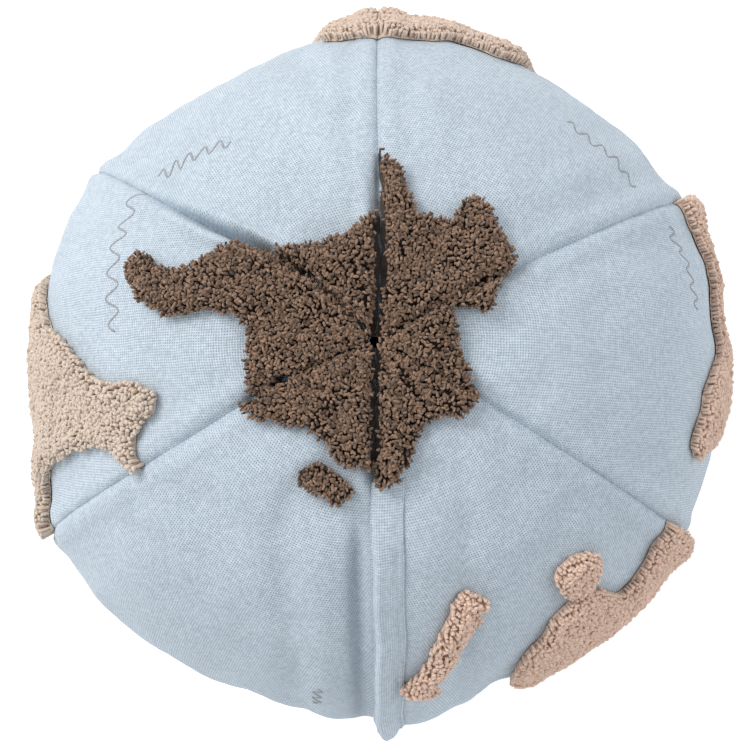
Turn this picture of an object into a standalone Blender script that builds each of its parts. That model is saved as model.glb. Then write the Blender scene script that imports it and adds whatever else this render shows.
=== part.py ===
"""Globe floor cushion: six sewn canvas panels over a liner and filling, tufted land, covered zip.

Metres, +Z up.  The object stands on its flattened bare pole at z = 0, with the other pole, the
crown, on top.  Directions on the globe are an azimuth, clockwise from +Y seen from above, and a
polar angle measured at the middle of the ball, down from the crown.
"""

import math

import bmesh
import bpy
import numpy as np
from mathutils import Vector, geometry

# ---- driving dimensions -------------------------------------------------------------------
SIDE_RADIUS = 0.165          # arc of the ball's side, from near the crown to near the base
SIDE_OFFSET = 0.037          # distance of that arc's centre from the vertical axis
SIDE_HALF_ANGLE = 75.0       # degrees of side arc above and below the middle
BASE_RADIUS = 0.078          # flat disc that the filled cushion rests on
CLOTH = 0.0010               # canvas panel thickness
GAP = 0.0003                 # clearance between touching pieces
POLE_HOLE = 0.0030           # the panel points stop short of both poles
SEAM_STAND = 0.015           # seams stand out of the round by this share of the radius
PANEL_FLAT = 0.045           # panels lie in by this share between two seams
CROWN_DIMPLE = 0.008         # depth of the sunken crown
CROWN_DIMPLE_RADIUS = 0.035
SEAM_VALLEY = 0.0025         # depth of the seams near the crown
PILE_HEIGHT = 0.0080         # tufted land
PILE_LIFT = 0.0012           # clearance under the tufted land
SEAM_MARGIN = 0.0016         # tufted land stops this far from a seam

# Seams: azimuth round the side, and how far the seam turns aside close to the crown (degrees).
SEAMS = ((0.0, 5.0), (62.5, -2.0), (120.0, -4.0), (180.0, 0.0), (242.5, 7.0), (304.0, 16.0))
SEAM_SWAY_ANGLE = 23.0
PANEL_NAMES = ("back_right", "right", "front_right", "front_left", "left", "back_left")

# Zip along the front seam, measured from the seam: x across, n outward from the canvas.
ZIP_X = 0.0067               # middle of the zip, beside the seam line
ZIP_TOP = 66.0               # degrees of side arc: closed end
ZIP_BOTTOM = -50.0           # open end
SLIDER_REST = 62.0           # slider at the closed end
TAPE_EDGE = 0.0026           # inner edge of each tape from the middle
TAPE_WIDTH = 0.0080
TAPE_TOP = -0.0016
TAPE_THICKNESS = 0.0006
COIL_INNER = 0.0007
COIL_OUTER = 0.0023
COIL_TOP = -0.0001
COIL_BOTTOM = -0.0017
PANEL_EDGE_LEFT = 0.0012     # panel edges either side of the zip
PANEL_EDGE_RIGHT = 0.0115
LAND_HALF_WIDTH = 0.022      # the front seam lies straight across over this half width
LAND_FADE = 0.024
PLACKET_LEFT = -0.0010
PLACKET_RIGHT = 0.0140
PLACKET_THICKNESS = 0.0014
PLACKET_RISE = 0.0069
PLACKET_TOP = 73.0
PLACKET_BOTTOM = -60.0
PLACKET_TAPER = 8.0
SLIDER_LENGTH = 0.0110
SLIDER_HALF_WIDTH = 0.0042
PIN_HEIGHT = 0.00275
PIN_RADIUS = 0.00045
PIN_AHEAD = 0.0015           # the pull's pin lies this far towards the closed end
BARREL_RADIUS = 0.00125
BORE_RADIUS = 0.00075
PULL_LENGTH = 0.0180

LINER_DEPTH = 0.0050
LINER_THICKNESS = 0.0008
FILLING_DEPTH = 0.0100

# ---- tufted land: coast points (azimuth, polar angle) in degrees --------------------------
# A point beyond a seam is drawn back to the seam, where the land is cut for sewing.
LAND = {
    "antarctica_back_right": (0, (
        (-4, 31), (2, 30), (5.5, 29), (9, 26.5), (12, 24), (15, 22), (19, 21), (24, 22), (28, 22),
        (33, 23), (32, 26.5), (38, 28), (43, 27), (48, 26), (58, 25.5), (67, 24), (67, 2.5),
        (0, 2.5))),
    "antarctica_right": (1, (
        (56, 23), (67, 21), (72, 20), (75, 18.5), (71, 16), (70, 13.5), (83, 13), (92, 13),
        (105, 15), (114, 17), (124, 18.5), (124, 2.5), (56, 2.5))),
    "antarctica_front_right": (2, (
        (110, 18), (126, 18), (133, 17.5), (138, 16), (148, 15.5), (154, 16), (160, 18), (166, 20),
        (172, 22), (184, 23), (184, 2.5), (110, 2.5))),
    "antarctica_front_left": (3, (
        (176, 20), (185, 20), (193, 20), (200, 19), (207, 18), (214, 17), (221, 18), (228, 19.5),
        (234, 21), (240, 22.5), (254, 23.5), (254, 2.5), (176, 2.5))),
    "antarctica_left": (4, (
        (240, 21), (254, 20.5), (262, 21), (270, 20), (276, 20.5), (280, 23), (280.5, 27),
        (278, 31.5), (279.5, 36), (282.5, 39.5), (288, 42.5), (291.5, 40), (290, 34), (293, 31),
        (301, 28.5), (314, 25.5), (322, 14), (322, 2.5), (240, 2.5))),
    "antarctica_back_left": (5, (
        (300, 21.5), (320, 20), (328, 18.5), (339, 18), (347, 18), (353, 19), (368, 21),
        (368, 2.5), (300, 2.5))),
    "polar_island": (3, (
        (210.5, 23.5), (208, 21), (204, 20.3), (197, 21), (190.5, 22), (187, 23.3), (189, 24.6),
        (193, 26), (199, 25.6), (206.5, 25))),
    "south_america": (4, (
        (280, 68), (276, 65), (272, 56), (266, 50), (262.5, 45), (262, 41), (259.5, 37), (257, 36),
        (252, 38), (249, 41), (238, 42), (238, 43.5), (247, 45.5), (250, 48), (251, 55), (251, 66),
        (248, 73), (238, 76), (240, 84), (250, 96), (258, 106), (268, 110), (280, 104), (288, 93),
        (286, 79))),
    "africa_back_left": (5, (
        (366, 56), (354, 58), (350, 61), (351, 68), (352, 77), (346, 87), (332, 92), (324, 97),
        (324, 107), (334, 115), (348, 118), (366, 117))),
    "africa_back_right": (0, (
        (-6, 56), (7, 57.5), (11, 58), (14, 62), (20, 63), (25, 61), (29, 65), (28, 72), (28, 79),
        (34, 86), (44, 93), (40, 98), (30, 103), (26, 113), (14, 118), (-6, 117))),
    "spice_islands": (1, (
        (58, 63), (66, 64), (71, 67), (77, 71), (82, 68), (86, 72), (90, 69), (92, 65), (96, 61.5),
        (104, 60), (108, 62), (107, 67), (104, 72), (101, 80), (97, 89), (88, 95), (76, 97),
        (58, 92))),
    "australia": (2, (
        (114, 63.5), (123, 63), (130, 65), (134, 65), (136, 60), (139, 56), (146, 56.5), (150, 60),
        (155, 64), (157, 71), (157, 80), (153, 90), (147, 87), (143, 95), (134, 92), (127, 94),
        (114, 86))),
    "tasmania": (2, (
        (141.5, 47.5), (138, 47), (134, 49), (133, 51.5), (136, 55), (139, 55.5), (142, 54),
        (142.7, 50.5))),
    "new_zealand": (2, (
        (173.5, 58.5), (173.5, 61.5), (172, 64.5), (169.8, 65), (169, 61.5), (169, 58), (165, 54),
        (161, 51), (157.5, 48), (155, 45), (160, 43.5), (163, 45), (167, 49), (171, 54))),
    "asia_back_right": (0, (
        (-6, 127), (10, 125), (24, 128), (34, 124), (44, 116), (54, 109), (68, 105), (68, 141),
        (40, 141), (18, 140), (-6, 141))),
    "asia_right": (1, (
        (56, 105), (66, 108), (72, 117), (79, 116), (84, 106), (96, 104), (103, 109), (109, 107),
        (126, 110), (126, 141), (104, 141), (84, 141), (56, 141))),
    "asia_front_right": (2, (
        (114, 110), (130, 113), (137, 119), (141, 128), (150, 133), (157, 138), (150, 141),
        (136, 141), (114, 141))),
    "europe": (5, (
        (366, 127), (352, 125), (345, 128), (347, 134), (343, 139), (352, 141), (366, 141))),
    "north_america_front_left": (3, (
        (191, 141), (188, 136), (198, 132), (208, 126), (218, 121), (228, 119), (248, 122),
        (248, 141), (220, 141))),
    "north_america_left": (4, (
        (237, 122), (248, 119), (254, 113), (259, 115), (262, 122), (272, 125), (280, 131),
        (290, 136), (286, 141), (262, 141), (237, 141))),
    "greenland": (5, ((309, 139), (313, 133), (322, 131), (329, 135), (327, 140), (318, 141))),
}
COAST_STEP = 0.010
LAND_STEP = 0.015

# ---- materials: colour, roughness, metallic -----------------------------------------------
CANVAS_BLUE = ((0.52, 0.62, 0.70), 0.85, 0.0)
PILE_BROWN = ((0.11, 0.07, 0.05), 0.95, 0.0)
PILE_BEIGE = ((0.55, 0.46, 0.37), 0.95, 0.0)
TAPE_CLOTH = ((0.60, 0.66, 0.70), 0.80, 0.0)
COIL_NYLON = ((0.62, 0.68, 0.72), 0.40, 0.0)
SLIDER_METAL = ((0.55, 0.55, 0.56), 0.30, 1.0)
LINER_CLOTH = ((0.85, 0.85, 0.82), 0.85, 0.0)
FILLING_FIBRE = ((0.93, 0.93, 0.90), 0.95, 0.0)


# ---- the ball's surface -------------------------------------------------------------------
POLE_ARC_SINK = SIDE_OFFSET * math.tan(math.radians(SIDE_HALF_ANGLE))
POLE_ARC_RADIUS = SIDE_RADIUS + SIDE_OFFSET / math.cos(math.radians(SIDE_HALF_ANGLE))
MIDDLE = math.sqrt(POLE_ARC_RADIUS ** 2 - BASE_RADIUS ** 2) - POLE_ARC_SINK


def smooth_step(low, high, value):
    """0 below low, 1 above high, and a smooth rise between."""
    share = np.clip((value - low) / (high - low), 0.0, 1.0)
    return share * share * (3.0 - 2.0 * share)


def meridian(polar):
    """Distance from the middle to the seam outline: a side arc, and a flatter arc at each pole."""
    across = np.sin(polar)
    along = np.abs(np.cos(polar))
    side = SIDE_OFFSET * across + np.sqrt(np.maximum(SIDE_RADIUS ** 2 - (SIDE_OFFSET * along) ** 2, 0))
    pole = np.sqrt(np.maximum(POLE_ARC_RADIUS ** 2 - (POLE_ARC_SINK * across) ** 2, 0))
    pole = pole - POLE_ARC_SINK * along
    half = math.radians(SIDE_HALF_ANGLE)
    joint = math.atan2(SIDE_OFFSET + SIDE_RADIUS * math.cos(half), SIDE_RADIUS * math.sin(half))
    return np.where(np.minimum(polar, math.pi - polar) < joint, pole, side)


def seam_azimuth(index, polar):
    """Azimuth of one seam at a polar angle, in radians."""
    turns, number = divmod(index, len(SEAMS))
    azimuth, sway = SEAMS[number]
    near_crown = np.exp(-(polar / math.radians(SEAM_SWAY_ANGLE)) ** 2)
    return np.radians(360.0 * turns + azimuth + sway * near_crown)


def ball_point(panel, azimuth, polar, lift=0.0):
    """Point on the canvas of one panel, raised by lift along the line from the middle."""
    azimuth, polar = np.broadcast_arrays(np.asarray(azimuth, float), np.asarray(polar, float))
    left = seam_azimuth(panel, polar)
    right = seam_azimuth(panel + 1, polar)
    across = np.clip(2.0 * (azimuth - left) / (right - left) - 1.0, -1.0, 1.0)
    round_part = meridian(polar)
    flat = PANEL_FLAT * (1.0 - across ** 2) * np.sin(polar) ** 3
    gore = round_part * (1.0 + SEAM_STAND * np.sin(polar) ** 3 - flat)
    valley = SEAM_VALLEY * np.abs(across) ** 3 * np.exp(-(polar / math.radians(20.0)) ** 2)
    from_axis = round_part * np.sin(polar)
    dimple = CROWN_DIMPLE * np.exp(-(from_axis / CROWN_DIMPLE_RADIUS) ** 2)
    gore = gore - np.where(polar < math.pi / 2, valley + dimple, 0.0)
    sideways = np.sin(polar) * np.sin(azimuth)
    forward = -np.sin(polar) * np.cos(azimuth)
    upright = np.cos(polar)
    in_plane = np.hypot(forward, upright)
    front = meridian(np.arctan2(np.abs(forward), upright)) / np.maximum(in_plane, 1e-6)
    beside = np.abs(front * sideways)
    land = 1.0 - smooth_step(LAND_HALF_WIDTH, LAND_HALF_WIDTH + LAND_FADE, beside)
    elevation = np.degrees(np.arctan2(upright * front, front * forward - SIDE_OFFSET))
    land = land * smooth_step(ZIP_BOTTOM - 22.0, ZIP_BOTTOM - 12.0, elevation)
    land = land * (1.0 - smooth_step(PLACKET_TOP + 2.0, PLACKET_TOP + 9.0, elevation))
    land = np.where(forward > 0.0, land, 0.0)
    distance = gore * (1.0 - land) + front * land
    base = MIDDLE / np.maximum(-np.cos(polar), 1e-6)
    distance = np.where(polar > math.pi / 2, np.minimum(distance, base), distance) + lift
    radius = distance * np.sin(polar)
    return np.stack((radius * np.sin(azimuth), radius * np.cos(azimuth),
                     MIDDLE + distance * np.cos(polar)), axis=-1)


def zip_point(x, elevation, out):
    """Point near the zip: x across, degrees along the side arc, and distance out of the canvas."""
    angle = math.radians(elevation)
    reach = SIDE_RADIUS + out
    return (x, -(SIDE_OFFSET + reach * math.cos(angle)), MIDDLE + reach * math.sin(angle))


# ---- Blender helpers ----------------------------------------------------------------------
def clear_scene():
    for item in list(bpy.data.objects):
        bpy.data.objects.remove(item, do_unlink=True)


def add_object(name, vertices, faces, look, smooth=True):
    """A closed mesh object with its own material, its faces turned outward."""
    mesh = bpy.data.meshes.new(name)
    mesh.from_pydata([tuple(map(float, v)) for v in vertices], [], faces)
    shape = bmesh.new()
    shape.from_mesh(mesh)
    bmesh.ops.recalc_face_normals(shape, faces=shape.faces)
    shape.to_mesh(mesh)
    shape.free()
    finish_mesh(mesh, name, look, smooth)
    item = bpy.data.objects.new(name, mesh)
    bpy.context.scene.collection.objects.link(item)
    return item


def finish_mesh(mesh, name, look, smooth=True):
    """Gives a mesh its material and its shading."""
    colour, roughness, metallic = look
    material = bpy.data.materials.new(name)
    material.use_nodes = True
    shader = material.node_tree.nodes["Principled BSDF"]
    shader.inputs["Base Color"].default_value = (*colour, 1.0)
    shader.inputs["Roughness"].default_value = roughness
    shader.inputs["Metallic"].default_value = metallic
    mesh.materials.clear()
    mesh.materials.append(material)
    if smooth:
        mesh.shade_smooth()
        mesh.set_sharp_from_angle(angle=math.radians(35.0))


def grid_shell(name, outer, inner, look):
    """A thin closed wall between two grids of points of the same size."""
    rows, columns = outer.shape[:2]
    count = rows * columns
    vertices = np.concatenate((outer.reshape(-1, 3), inner.reshape(-1, 3)))
    faces = []
    for row in range(rows - 1):
        for column in range(columns - 1):
            a = row * columns + column
            quad = (a, a + columns, a + columns + 1, a + 1)
            faces.append(quad)
            faces.append(tuple(count + corner for corner in reversed(quad)))
    rim = [column for column in range(columns)]
    rim += [row * columns + columns - 1 for row in range(1, rows)]
    rim += [(rows - 1) * columns + column for column in range(columns - 2, -1, -1)]
    rim += [row * columns for row in range(rows - 2, 0, -1)]
    for start, end in zip(rim, rim[1:] + rim[:1]):
        faces.append((start, end, count + end, count + start))
    return add_object(name, vertices, faces, look)


def swept(name, section_at, low, high, steps, look):
    """A closed strip along the side arc; section_at gives the (x, out) corners at an elevation."""
    elevations = np.linspace(low, high, steps + 1)
    sections = [section_at(elevation) for elevation in elevations]
    corners = len(sections[0])
    vertices = []
    for elevation, section in zip(elevations, sections):
        vertices += [zip_point(x, elevation, out) for x, out in section]
    faces = []
    for step in range(steps):
        for corner in range(corners):
            a = step * corners + corner
            b = step * corners + (corner + 1) % corners
            faces.append((a, b, b + corners, a + corners))
    faces.append(tuple(range(corners)))
    faces.append(tuple(steps * corners + corner for corner in range(corners)))
    return add_object(name, vertices, faces, look)


def box(low, high):
    """A box between two corners, as vertices and faces."""
    (x0, y0, z0), (x1, y1, z1) = low, high
    vertices = [(x0, y0, z0), (x1, y0, z0), (x1, y1, z0), (x0, y1, z0),
                (x0, y0, z1), (x1, y0, z1), (x1, y1, z1), (x0, y1, z1)]
    faces = [(0, 3, 2, 1), (4, 5, 6, 7), (0, 1, 5, 4), (1, 2, 6, 5), (2, 3, 7, 6), (3, 0, 4, 7)]
    return vertices, faces


def rod(radius, half_length, centre, sides=20):
    """A round rod along x, as vertices and faces."""
    vertices = []
    for end in (-half_length, half_length):
        for side in range(sides):
            angle = 2.0 * math.pi * side / sides
            vertices.append((centre[0] + end, centre[1] + radius * math.cos(angle),
                             centre[2] + radius * math.sin(angle)))
    faces = [(s, (s + 1) % sides, sides + (s + 1) % sides, sides + s) for s in range(sides)]
    faces.append(tuple(range(sides - 1, -1, -1)))
    faces.append(tuple(range(sides, 2 * sides)))
    return vertices, faces


def combined(name, look, base, added=(), cut=()):
    """One body: base joined with the added shapes, less the cut shapes, by exact booleans."""
    result = add_object(name, *base, look, smooth=False)
    for operation, shapes in (("UNION", added), ("DIFFERENCE", cut)):
        for number, shape in enumerate(shapes):
            tool = add_object(f"{name}_{operation.lower()}_{number}", *shape, look, smooth=False)
            modifier = result.modifiers.new(tool.name, "BOOLEAN")
            modifier.operation = operation
            modifier.solver = "EXACT"
            modifier.object = tool
            evaluated = result.evaluated_get(bpy.context.evaluated_depsgraph_get())
            mesh = bpy.data.meshes.new_from_object(evaluated)
            result.modifiers.clear()
            old = result.data
            result.data = mesh
            bpy.data.meshes.remove(old)
            bpy.data.objects.remove(tool, do_unlink=True)
    result.data.name = name
    finish_mesh(result.data, name, look)
    return result


# ---- cover panels -------------------------------------------------------------------------
PANEL_COLUMNS = 8
CROWN_ROWS = 8
PANEL_ROWS = 30


def panel_rows():
    """Polar angles of a panel's rows, closer together in the sunken crown."""
    start = math.asin(POLE_HOLE / (2.0 * MIDDLE)) * 2.0
    crown = np.linspace(start, math.radians(24.0), CROWN_ROWS + 1)
    base_edge = math.pi - math.atan2(BASE_RADIUS, MIDDLE)
    side = np.linspace(math.radians(24.0), base_edge, PANEL_ROWS - CROWN_ROWS - 3)[1:]
    base = np.linspace(base_edge, math.pi - math.atan2(POLE_HOLE, MIDDLE), 4)[1:]
    return np.concatenate((crown, side, base))


def seam_gap(polar, beside_zip):
    """Distance of a panel's edge from its seam line: half a gap, or more beside the zip."""
    distance = meridian(polar)
    out = distance * np.sin(polar) - SIDE_OFFSET
    elevation = np.degrees(np.arctan2(distance * np.cos(polar), out))
    zone = smooth_step(ZIP_BOTTOM - 12.0, ZIP_BOTTOM - 7.0, elevation)
    zone = zone * (1.0 - smooth_step(ZIP_TOP + 5.0, ZIP_TOP + 9.0, elevation))
    return GAP / 2.0 + (beside_zip - GAP / 2.0) * zone


def make_panel(panel):
    """One gore of canvas from pole to pole; the two front ones stop beside the zip."""
    polar = panel_rows()
    width = np.maximum(meridian(polar) * np.sin(polar), POLE_HOLE)
    left_gap = np.full_like(polar, GAP / 2.0)
    right_gap = np.full_like(polar, GAP / 2.0)
    if PANEL_NAMES[panel] == "front_right":
        right_gap = seam_gap(polar, PANEL_EDGE_RIGHT)
    if PANEL_NAMES[panel] == "front_left":
        left_gap = seam_gap(polar, -PANEL_EDGE_LEFT)
    start = seam_azimuth(panel, polar) + left_gap / width
    end = seam_azimuth(panel + 1, polar) - right_gap / width
    share = 0.5 - 0.5 * np.cos(np.linspace(0.0, math.pi, PANEL_COLUMNS + 1))
    azimuth = start[:, None] + (end - start)[:, None] * share[None, :]
    polar = np.repeat(polar[:, None], PANEL_COLUMNS + 1, axis=1)
    outer = ball_point(panel, azimuth, polar)
    inner = ball_point(panel, azimuth, polar, -CLOTH)
    return grid_shell(f"panel_{PANEL_NAMES[panel]}", outer, inner, CANVAS_BLUE)


# ---- tufted land --------------------------------------------------------------------------
def smooth_loop(points, step):
    """Points a step apart along a closed smooth curve through the given points."""
    corners = np.asarray(points, float)
    share = np.linspace(0.0, 1.0, 9)[:-1, None]
    before, here = np.roll(corners, 1, axis=0), corners
    after, beyond = np.roll(corners, -1, axis=0), np.roll(corners, -2, axis=0)
    curve = []
    for a, b, c, d in zip(before, here, after, beyond):
        curve.append(0.5 * (2 * b + (c - a) * share + (2 * a - 5 * b + 4 * c - d) * share ** 2
                            + (3 * b - a - 3 * c + d) * share ** 3))
    curve = np.concatenate(curve)
    reach = np.linalg.norm(np.roll(curve, -1, axis=0) - curve, axis=1)
    length = np.concatenate(([0.0], np.cumsum(reach)))
    wanted = np.linspace(0.0, length[-1], max(int(length[-1] / step), 8) + 1)[:-1]
    closed = np.vstack((curve, curve[:1]))
    return np.stack([np.interp(wanted, length, closed[:, axis]) for axis in (0, 1)], axis=1)


def spread(panel, azimuth, polar):
    """Flat pattern position of a globe direction: across from the panel's middle, and down."""
    middle = 0.5 * (seam_azimuth(panel, polar) + seam_azimuth(panel + 1, polar))
    down = SIDE_RADIUS * 1.2 * polar
    return np.stack(((azimuth - middle) * SIDE_RADIUS * 1.2 * np.sin(polar), down), axis=-1)


def gather(panel, flat):
    """Azimuth and polar angle of a flat pattern position."""
    polar = flat[:, 1] / (SIDE_RADIUS * 1.2)
    middle = 0.5 * (seam_azimuth(panel, polar) + seam_azimuth(panel + 1, polar))
    return middle + flat[:, 0] / (SIDE_RADIUS * 1.2 * np.sin(polar)), polar


def drawn_to_seams(panel, azimuth, polar):
    """Azimuths held between the panel's two seams, less the sewing margin."""
    margin = SEAM_MARGIN / np.maximum(meridian(polar) * np.sin(polar), POLE_HOLE)
    return np.clip(azimuth, seam_azimuth(panel, polar) + margin,
                   seam_azimuth(panel + 1, polar) - margin)


def inside(loop, points):
    """Which flat points lie inside a closed loop."""
    x, y = points[:, 0][:, None], points[:, 1][:, None]
    x0, y0 = loop[:, 0], loop[:, 1]
    x1, y1 = np.roll(x0, -1), np.roll(y0, -1)
    crosses = (y0 > y) != (y1 > y)
    rise = np.where(np.abs(y1 - y0) < 1e-12, 1e-12, y1 - y0)
    return (crosses & (x < (x1 - x0) * (y - y0) / rise + x0)).sum(axis=1) % 2 == 1


def make_land(name, panel, coast, look):
    """A slab of pile over one outline, cut along the seams and following the canvas."""
    coast = np.radians(np.asarray(coast, float))
    held = drawn_to_seams(panel, coast[:, 0], coast[:, 1])
    loop = smooth_loop(spread(panel, held, coast[:, 1]), COAST_STEP)
    azimuth, polar = gather(panel, loop)
    polar = np.maximum(polar, math.radians(2.2))
    loop = spread(panel, drawn_to_seams(panel, azimuth, polar), polar)
    far = np.linalg.norm(np.roll(loop, -1, axis=0) - loop, axis=1) > COAST_STEP * 0.25
    loop = loop[far]
    low, high = loop.min(axis=0), loop.max(axis=0)
    across, down = np.meshgrid(np.arange(low[0], high[0], LAND_STEP),
                               np.arange(low[1], high[1], LAND_STEP * 0.87))
    across = across + (np.arange(across.shape[0])[:, None] % 2) * LAND_STEP / 2
    field = np.stack((across.ravel(), down.ravel()), axis=1)
    field = field[inside(loop, field)]
    if len(field):
        clear = np.linalg.norm(field[:, None] - loop[None], axis=2).min(axis=1)
        field = field[clear > LAND_STEP * 0.55]
    flat = np.concatenate((loop, field))
    edges = [(i, (i + 1) % len(loop)) for i in range(len(loop))]
    result = geometry.delaunay_2d_cdt([Vector(p) for p in flat], edges,
                                      [tuple(range(len(loop)))], 1, 1e-7)
    points = np.array([tuple(p) for p in result[0]])
    triangles = [tuple(face) for face in result[2]]
    azimuth, polar = gather(panel, points)
    under = ball_point(panel, azimuth, polar, PILE_LIFT)
    over = ball_point(panel, azimuth, polar, PILE_LIFT + PILE_HEIGHT)
    count = len(points)
    directed = {(a, b) for t in triangles for a, b in zip(t, t[1:] + t[:1])}
    faces = [tuple(count + corner for corner in t) for t in triangles]
    faces += [tuple(reversed(t)) for t in triangles]
    faces += [(a, b, count + b, count + a) for a, b in directed if (b, a) not in directed]
    return add_object(f"pile_{name}", np.concatenate((under, over)), faces, look)


# ---- covered zip --------------------------------------------------------------------------
def strip(left, right, bottom, top):
    """The same four-cornered section all along."""
    return lambda elevation: ((left, bottom), (right, bottom), (right, top), (left, top))


def placket_section(elevation):
    """The folded strip of canvas over the zip: sewn at its right, free at its left."""
    ends = smooth_step(PLACKET_BOTTOM, PLACKET_BOTTOM + PLACKET_TAPER * 0.5, elevation)
    ends = ends * (1.0 - smooth_step(PLACKET_TOP - PLACKET_TAPER, PLACKET_TOP, elevation))
    across = np.linspace(PLACKET_LEFT, PLACKET_RIGHT, 8)
    phase = 0.9 * math.pi * (PLACKET_RIGHT - across) / (PLACKET_RIGHT - PLACKET_LEFT)
    middle = GAP + PLACKET_THICKNESS / 2 + PLACKET_RISE * ends * np.sin(phase) ** 0.7
    under = [(x, out - PLACKET_THICKNESS / 2) for x, out in zip(across, middle)]
    over = [(x, out + PLACKET_THICKNESS / 2) for x, out in zip(across, middle)]
    return tuple(under + over[::-1])


def make_zip_strips():
    """Two tapes, two coils, the placket and the stops at both ends of the coils."""
    tape_bottom = TAPE_TOP - TAPE_THICKNESS
    steps = 30
    for side, sign in (("left", -1), ("right", 1)):
        tape = sorted((ZIP_X + sign * TAPE_EDGE, ZIP_X + sign * (TAPE_EDGE + TAPE_WIDTH)))
        swept(f"zip_tape_{side}", strip(*tape, tape_bottom, TAPE_TOP),
              ZIP_BOTTOM - 2.4, ZIP_TOP + 1.8, steps, TAPE_CLOTH)
        coil = sorted((ZIP_X + sign * COIL_INNER, ZIP_X + sign * COIL_OUTER))
        swept(f"zip_coil_{side}", strip(*coil, COIL_BOTTOM, COIL_TOP),
              ZIP_BOTTOM, ZIP_TOP, steps, COIL_NYLON)
    stop = strip(ZIP_X - COIL_OUTER, ZIP_X + COIL_OUTER, COIL_BOTTOM, COIL_TOP + 0.0004)
    swept("zip_stop_closed_end", stop, ZIP_TOP + 0.3, ZIP_TOP + 1.1, 1, SLIDER_METAL)
    swept("zip_stop_open_end", stop, ZIP_BOTTOM - 1.4, ZIP_BOTTOM - 0.3, 1, SLIDER_METAL)
    swept("placket", placket_section, PLACKET_BOTTOM, PLACKET_TOP, 32, CANVAS_BLUE)


def make_slider_and_pull():
    """The slider turns about the centre of the side arc; the pull turns on the slider's pin."""
    axis = bpy.data.objects.new("slider_axis", None)
    bpy.context.scene.collection.objects.link(axis)
    axis.location = (ZIP_X, -SIDE_OFFSET, MIDDLE)
    axis.rotation_euler = (math.radians(90.0 - SLIDER_REST), 0.0, 0.0)
    half, wide = SLIDER_LENGTH / 2, SLIDER_HALF_WIDTH
    ear_low, ear_high = PIN_AHEAD - 0.0013, PIN_AHEAD + 0.0013
    top_plate = box((-wide, -half, 0.0002), (wide, half, 0.0013))
    bottom_plate = box((-wide, -half, -0.0037), (wide, half, -0.0026))
    post = box((-0.00035, half - 0.0030, -0.0030), (0.00035, half, 0.0006))
    flanges = [box((x0, -half, -0.0012), (x1, half, 0.0006))
               for x0, x1 in ((-wide, -TAPE_EDGE - 0.0003), (TAPE_EDGE + 0.0003, wide))]
    ears = [box((x0, ear_low, 0.0010), (x1, ear_high, PIN_HEIGHT + 0.0008))
            for x0, x1 in ((-0.0032, -0.0024), (0.0024, 0.0032))]
    pin = rod(PIN_RADIUS, 0.0028, (0.0, PIN_AHEAD, PIN_HEIGHT))
    slider = combined("zip_slider", SLIDER_METAL, top_plate,
                      [post, bottom_plate, *flanges, *ears, pin])
    slider.parent = axis
    slider.location = (0.0, 0.0, SIDE_RADIUS)

    pin_axis = bpy.data.objects.new("pull_axis", None)
    bpy.context.scene.collection.objects.link(pin_axis)
    pin_axis.parent = axis
    pin_axis.location = (0.0, PIN_AHEAD, SIDE_RADIUS + PIN_HEIGHT)
    barrel = rod(BARREL_RADIUS, 0.0020, (0.0, 0.0, 0.0))
    blade = box((-0.0020, -PULL_LENGTH, -0.0005), (0.0020, -0.0008, 0.0005))
    bore = rod(BORE_RADIUS, 0.0040, (0.0, 0.0, 0.0))
    cord_hole = box((-0.0010, -PULL_LENGTH + 0.0015, -0.0020), (0.0010, -PULL_LENGTH + 0.0050, 0.0020))
    pull = combined("zip_pull", SLIDER_METAL, barrel, [blade], [bore, cord_hole])
    pull.parent = pin_axis


# ---- inside -------------------------------------------------------------------------------
INSIDE_ROWS = 14
INSIDE_COLUMNS = 12
LINER_HALVES = (("right", 0.15, 179.85), ("left", 180.15, 359.85))


def inside_grid(start, end, depth):
    """Grid of points under the canvas between two azimuths, from pole to pole."""
    polar = np.linspace(math.radians(1.5), math.radians(178.5), INSIDE_ROWS + 1)[:, None]
    azimuth = np.radians(np.linspace(start, end, INSIDE_COLUMNS + 1))[None, :]
    azimuth, polar = np.broadcast_arrays(azimuth, polar)
    points = np.zeros((*azimuth.shape, 3))
    for panel in range(len(SEAMS)):
        mine = (azimuth >= seam_azimuth(panel, polar)) & (azimuth <= seam_azimuth(panel + 1, polar))
        points[mine] = ball_point(panel, azimuth[mine], polar[mine], -depth)
    early = azimuth < seam_azimuth(0, polar)
    points[early] = ball_point(0, azimuth[early], polar[early], -depth)
    return points


def make_inside():
    """Two liner halves sewn along the front and back, and the filling inside them."""
    for side, start, end in LINER_HALVES:
        outer = inside_grid(start, end, LINER_DEPTH)
        inner = inside_grid(start, end, LINER_DEPTH + LINER_THICKNESS)
        grid_shell(f"liner_{side}", outer, inner, LINER_CLOTH)
    ring = np.concatenate([inside_grid(start, end, FILLING_DEPTH)
                           for _, start, end in LINER_HALVES], axis=1)
    rows, columns = ring.shape[:2]
    vertices = [*ring.reshape(-1, 3), ring[0].mean(axis=0), ring[-1].mean(axis=0)]
    faces = []
    for row in range(rows - 1):
        for column in range(columns):
            a, b = row * columns + column, row * columns + (column + 1) % columns
            faces.append((a, a + columns, b + columns, b))
    top, bottom = rows * columns, rows * columns + 1
    for column in range(columns):
        after = (column + 1) % columns
        faces.append((top, column, after))
        faces.append((bottom, (rows - 1) * columns + after, (rows - 1) * columns + column))
    add_object("filling", vertices, faces, FILLING_FIBRE)


def main():
    clear_scene()
    for panel in range(len(SEAMS)):
        make_panel(panel)
    for name, (panel, coast) in LAND.items():
        look = PILE_BROWN if name.startswith(("antarctica", "polar")) else PILE_BEIGE
        make_land(name, panel, coast, look)
    make_zip_strips()
    make_slider_and_pull()
    make_inside()


main()
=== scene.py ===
import math

import bpy
import numpy as np
from mathutils import Matrix, Vector, geometry


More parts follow.
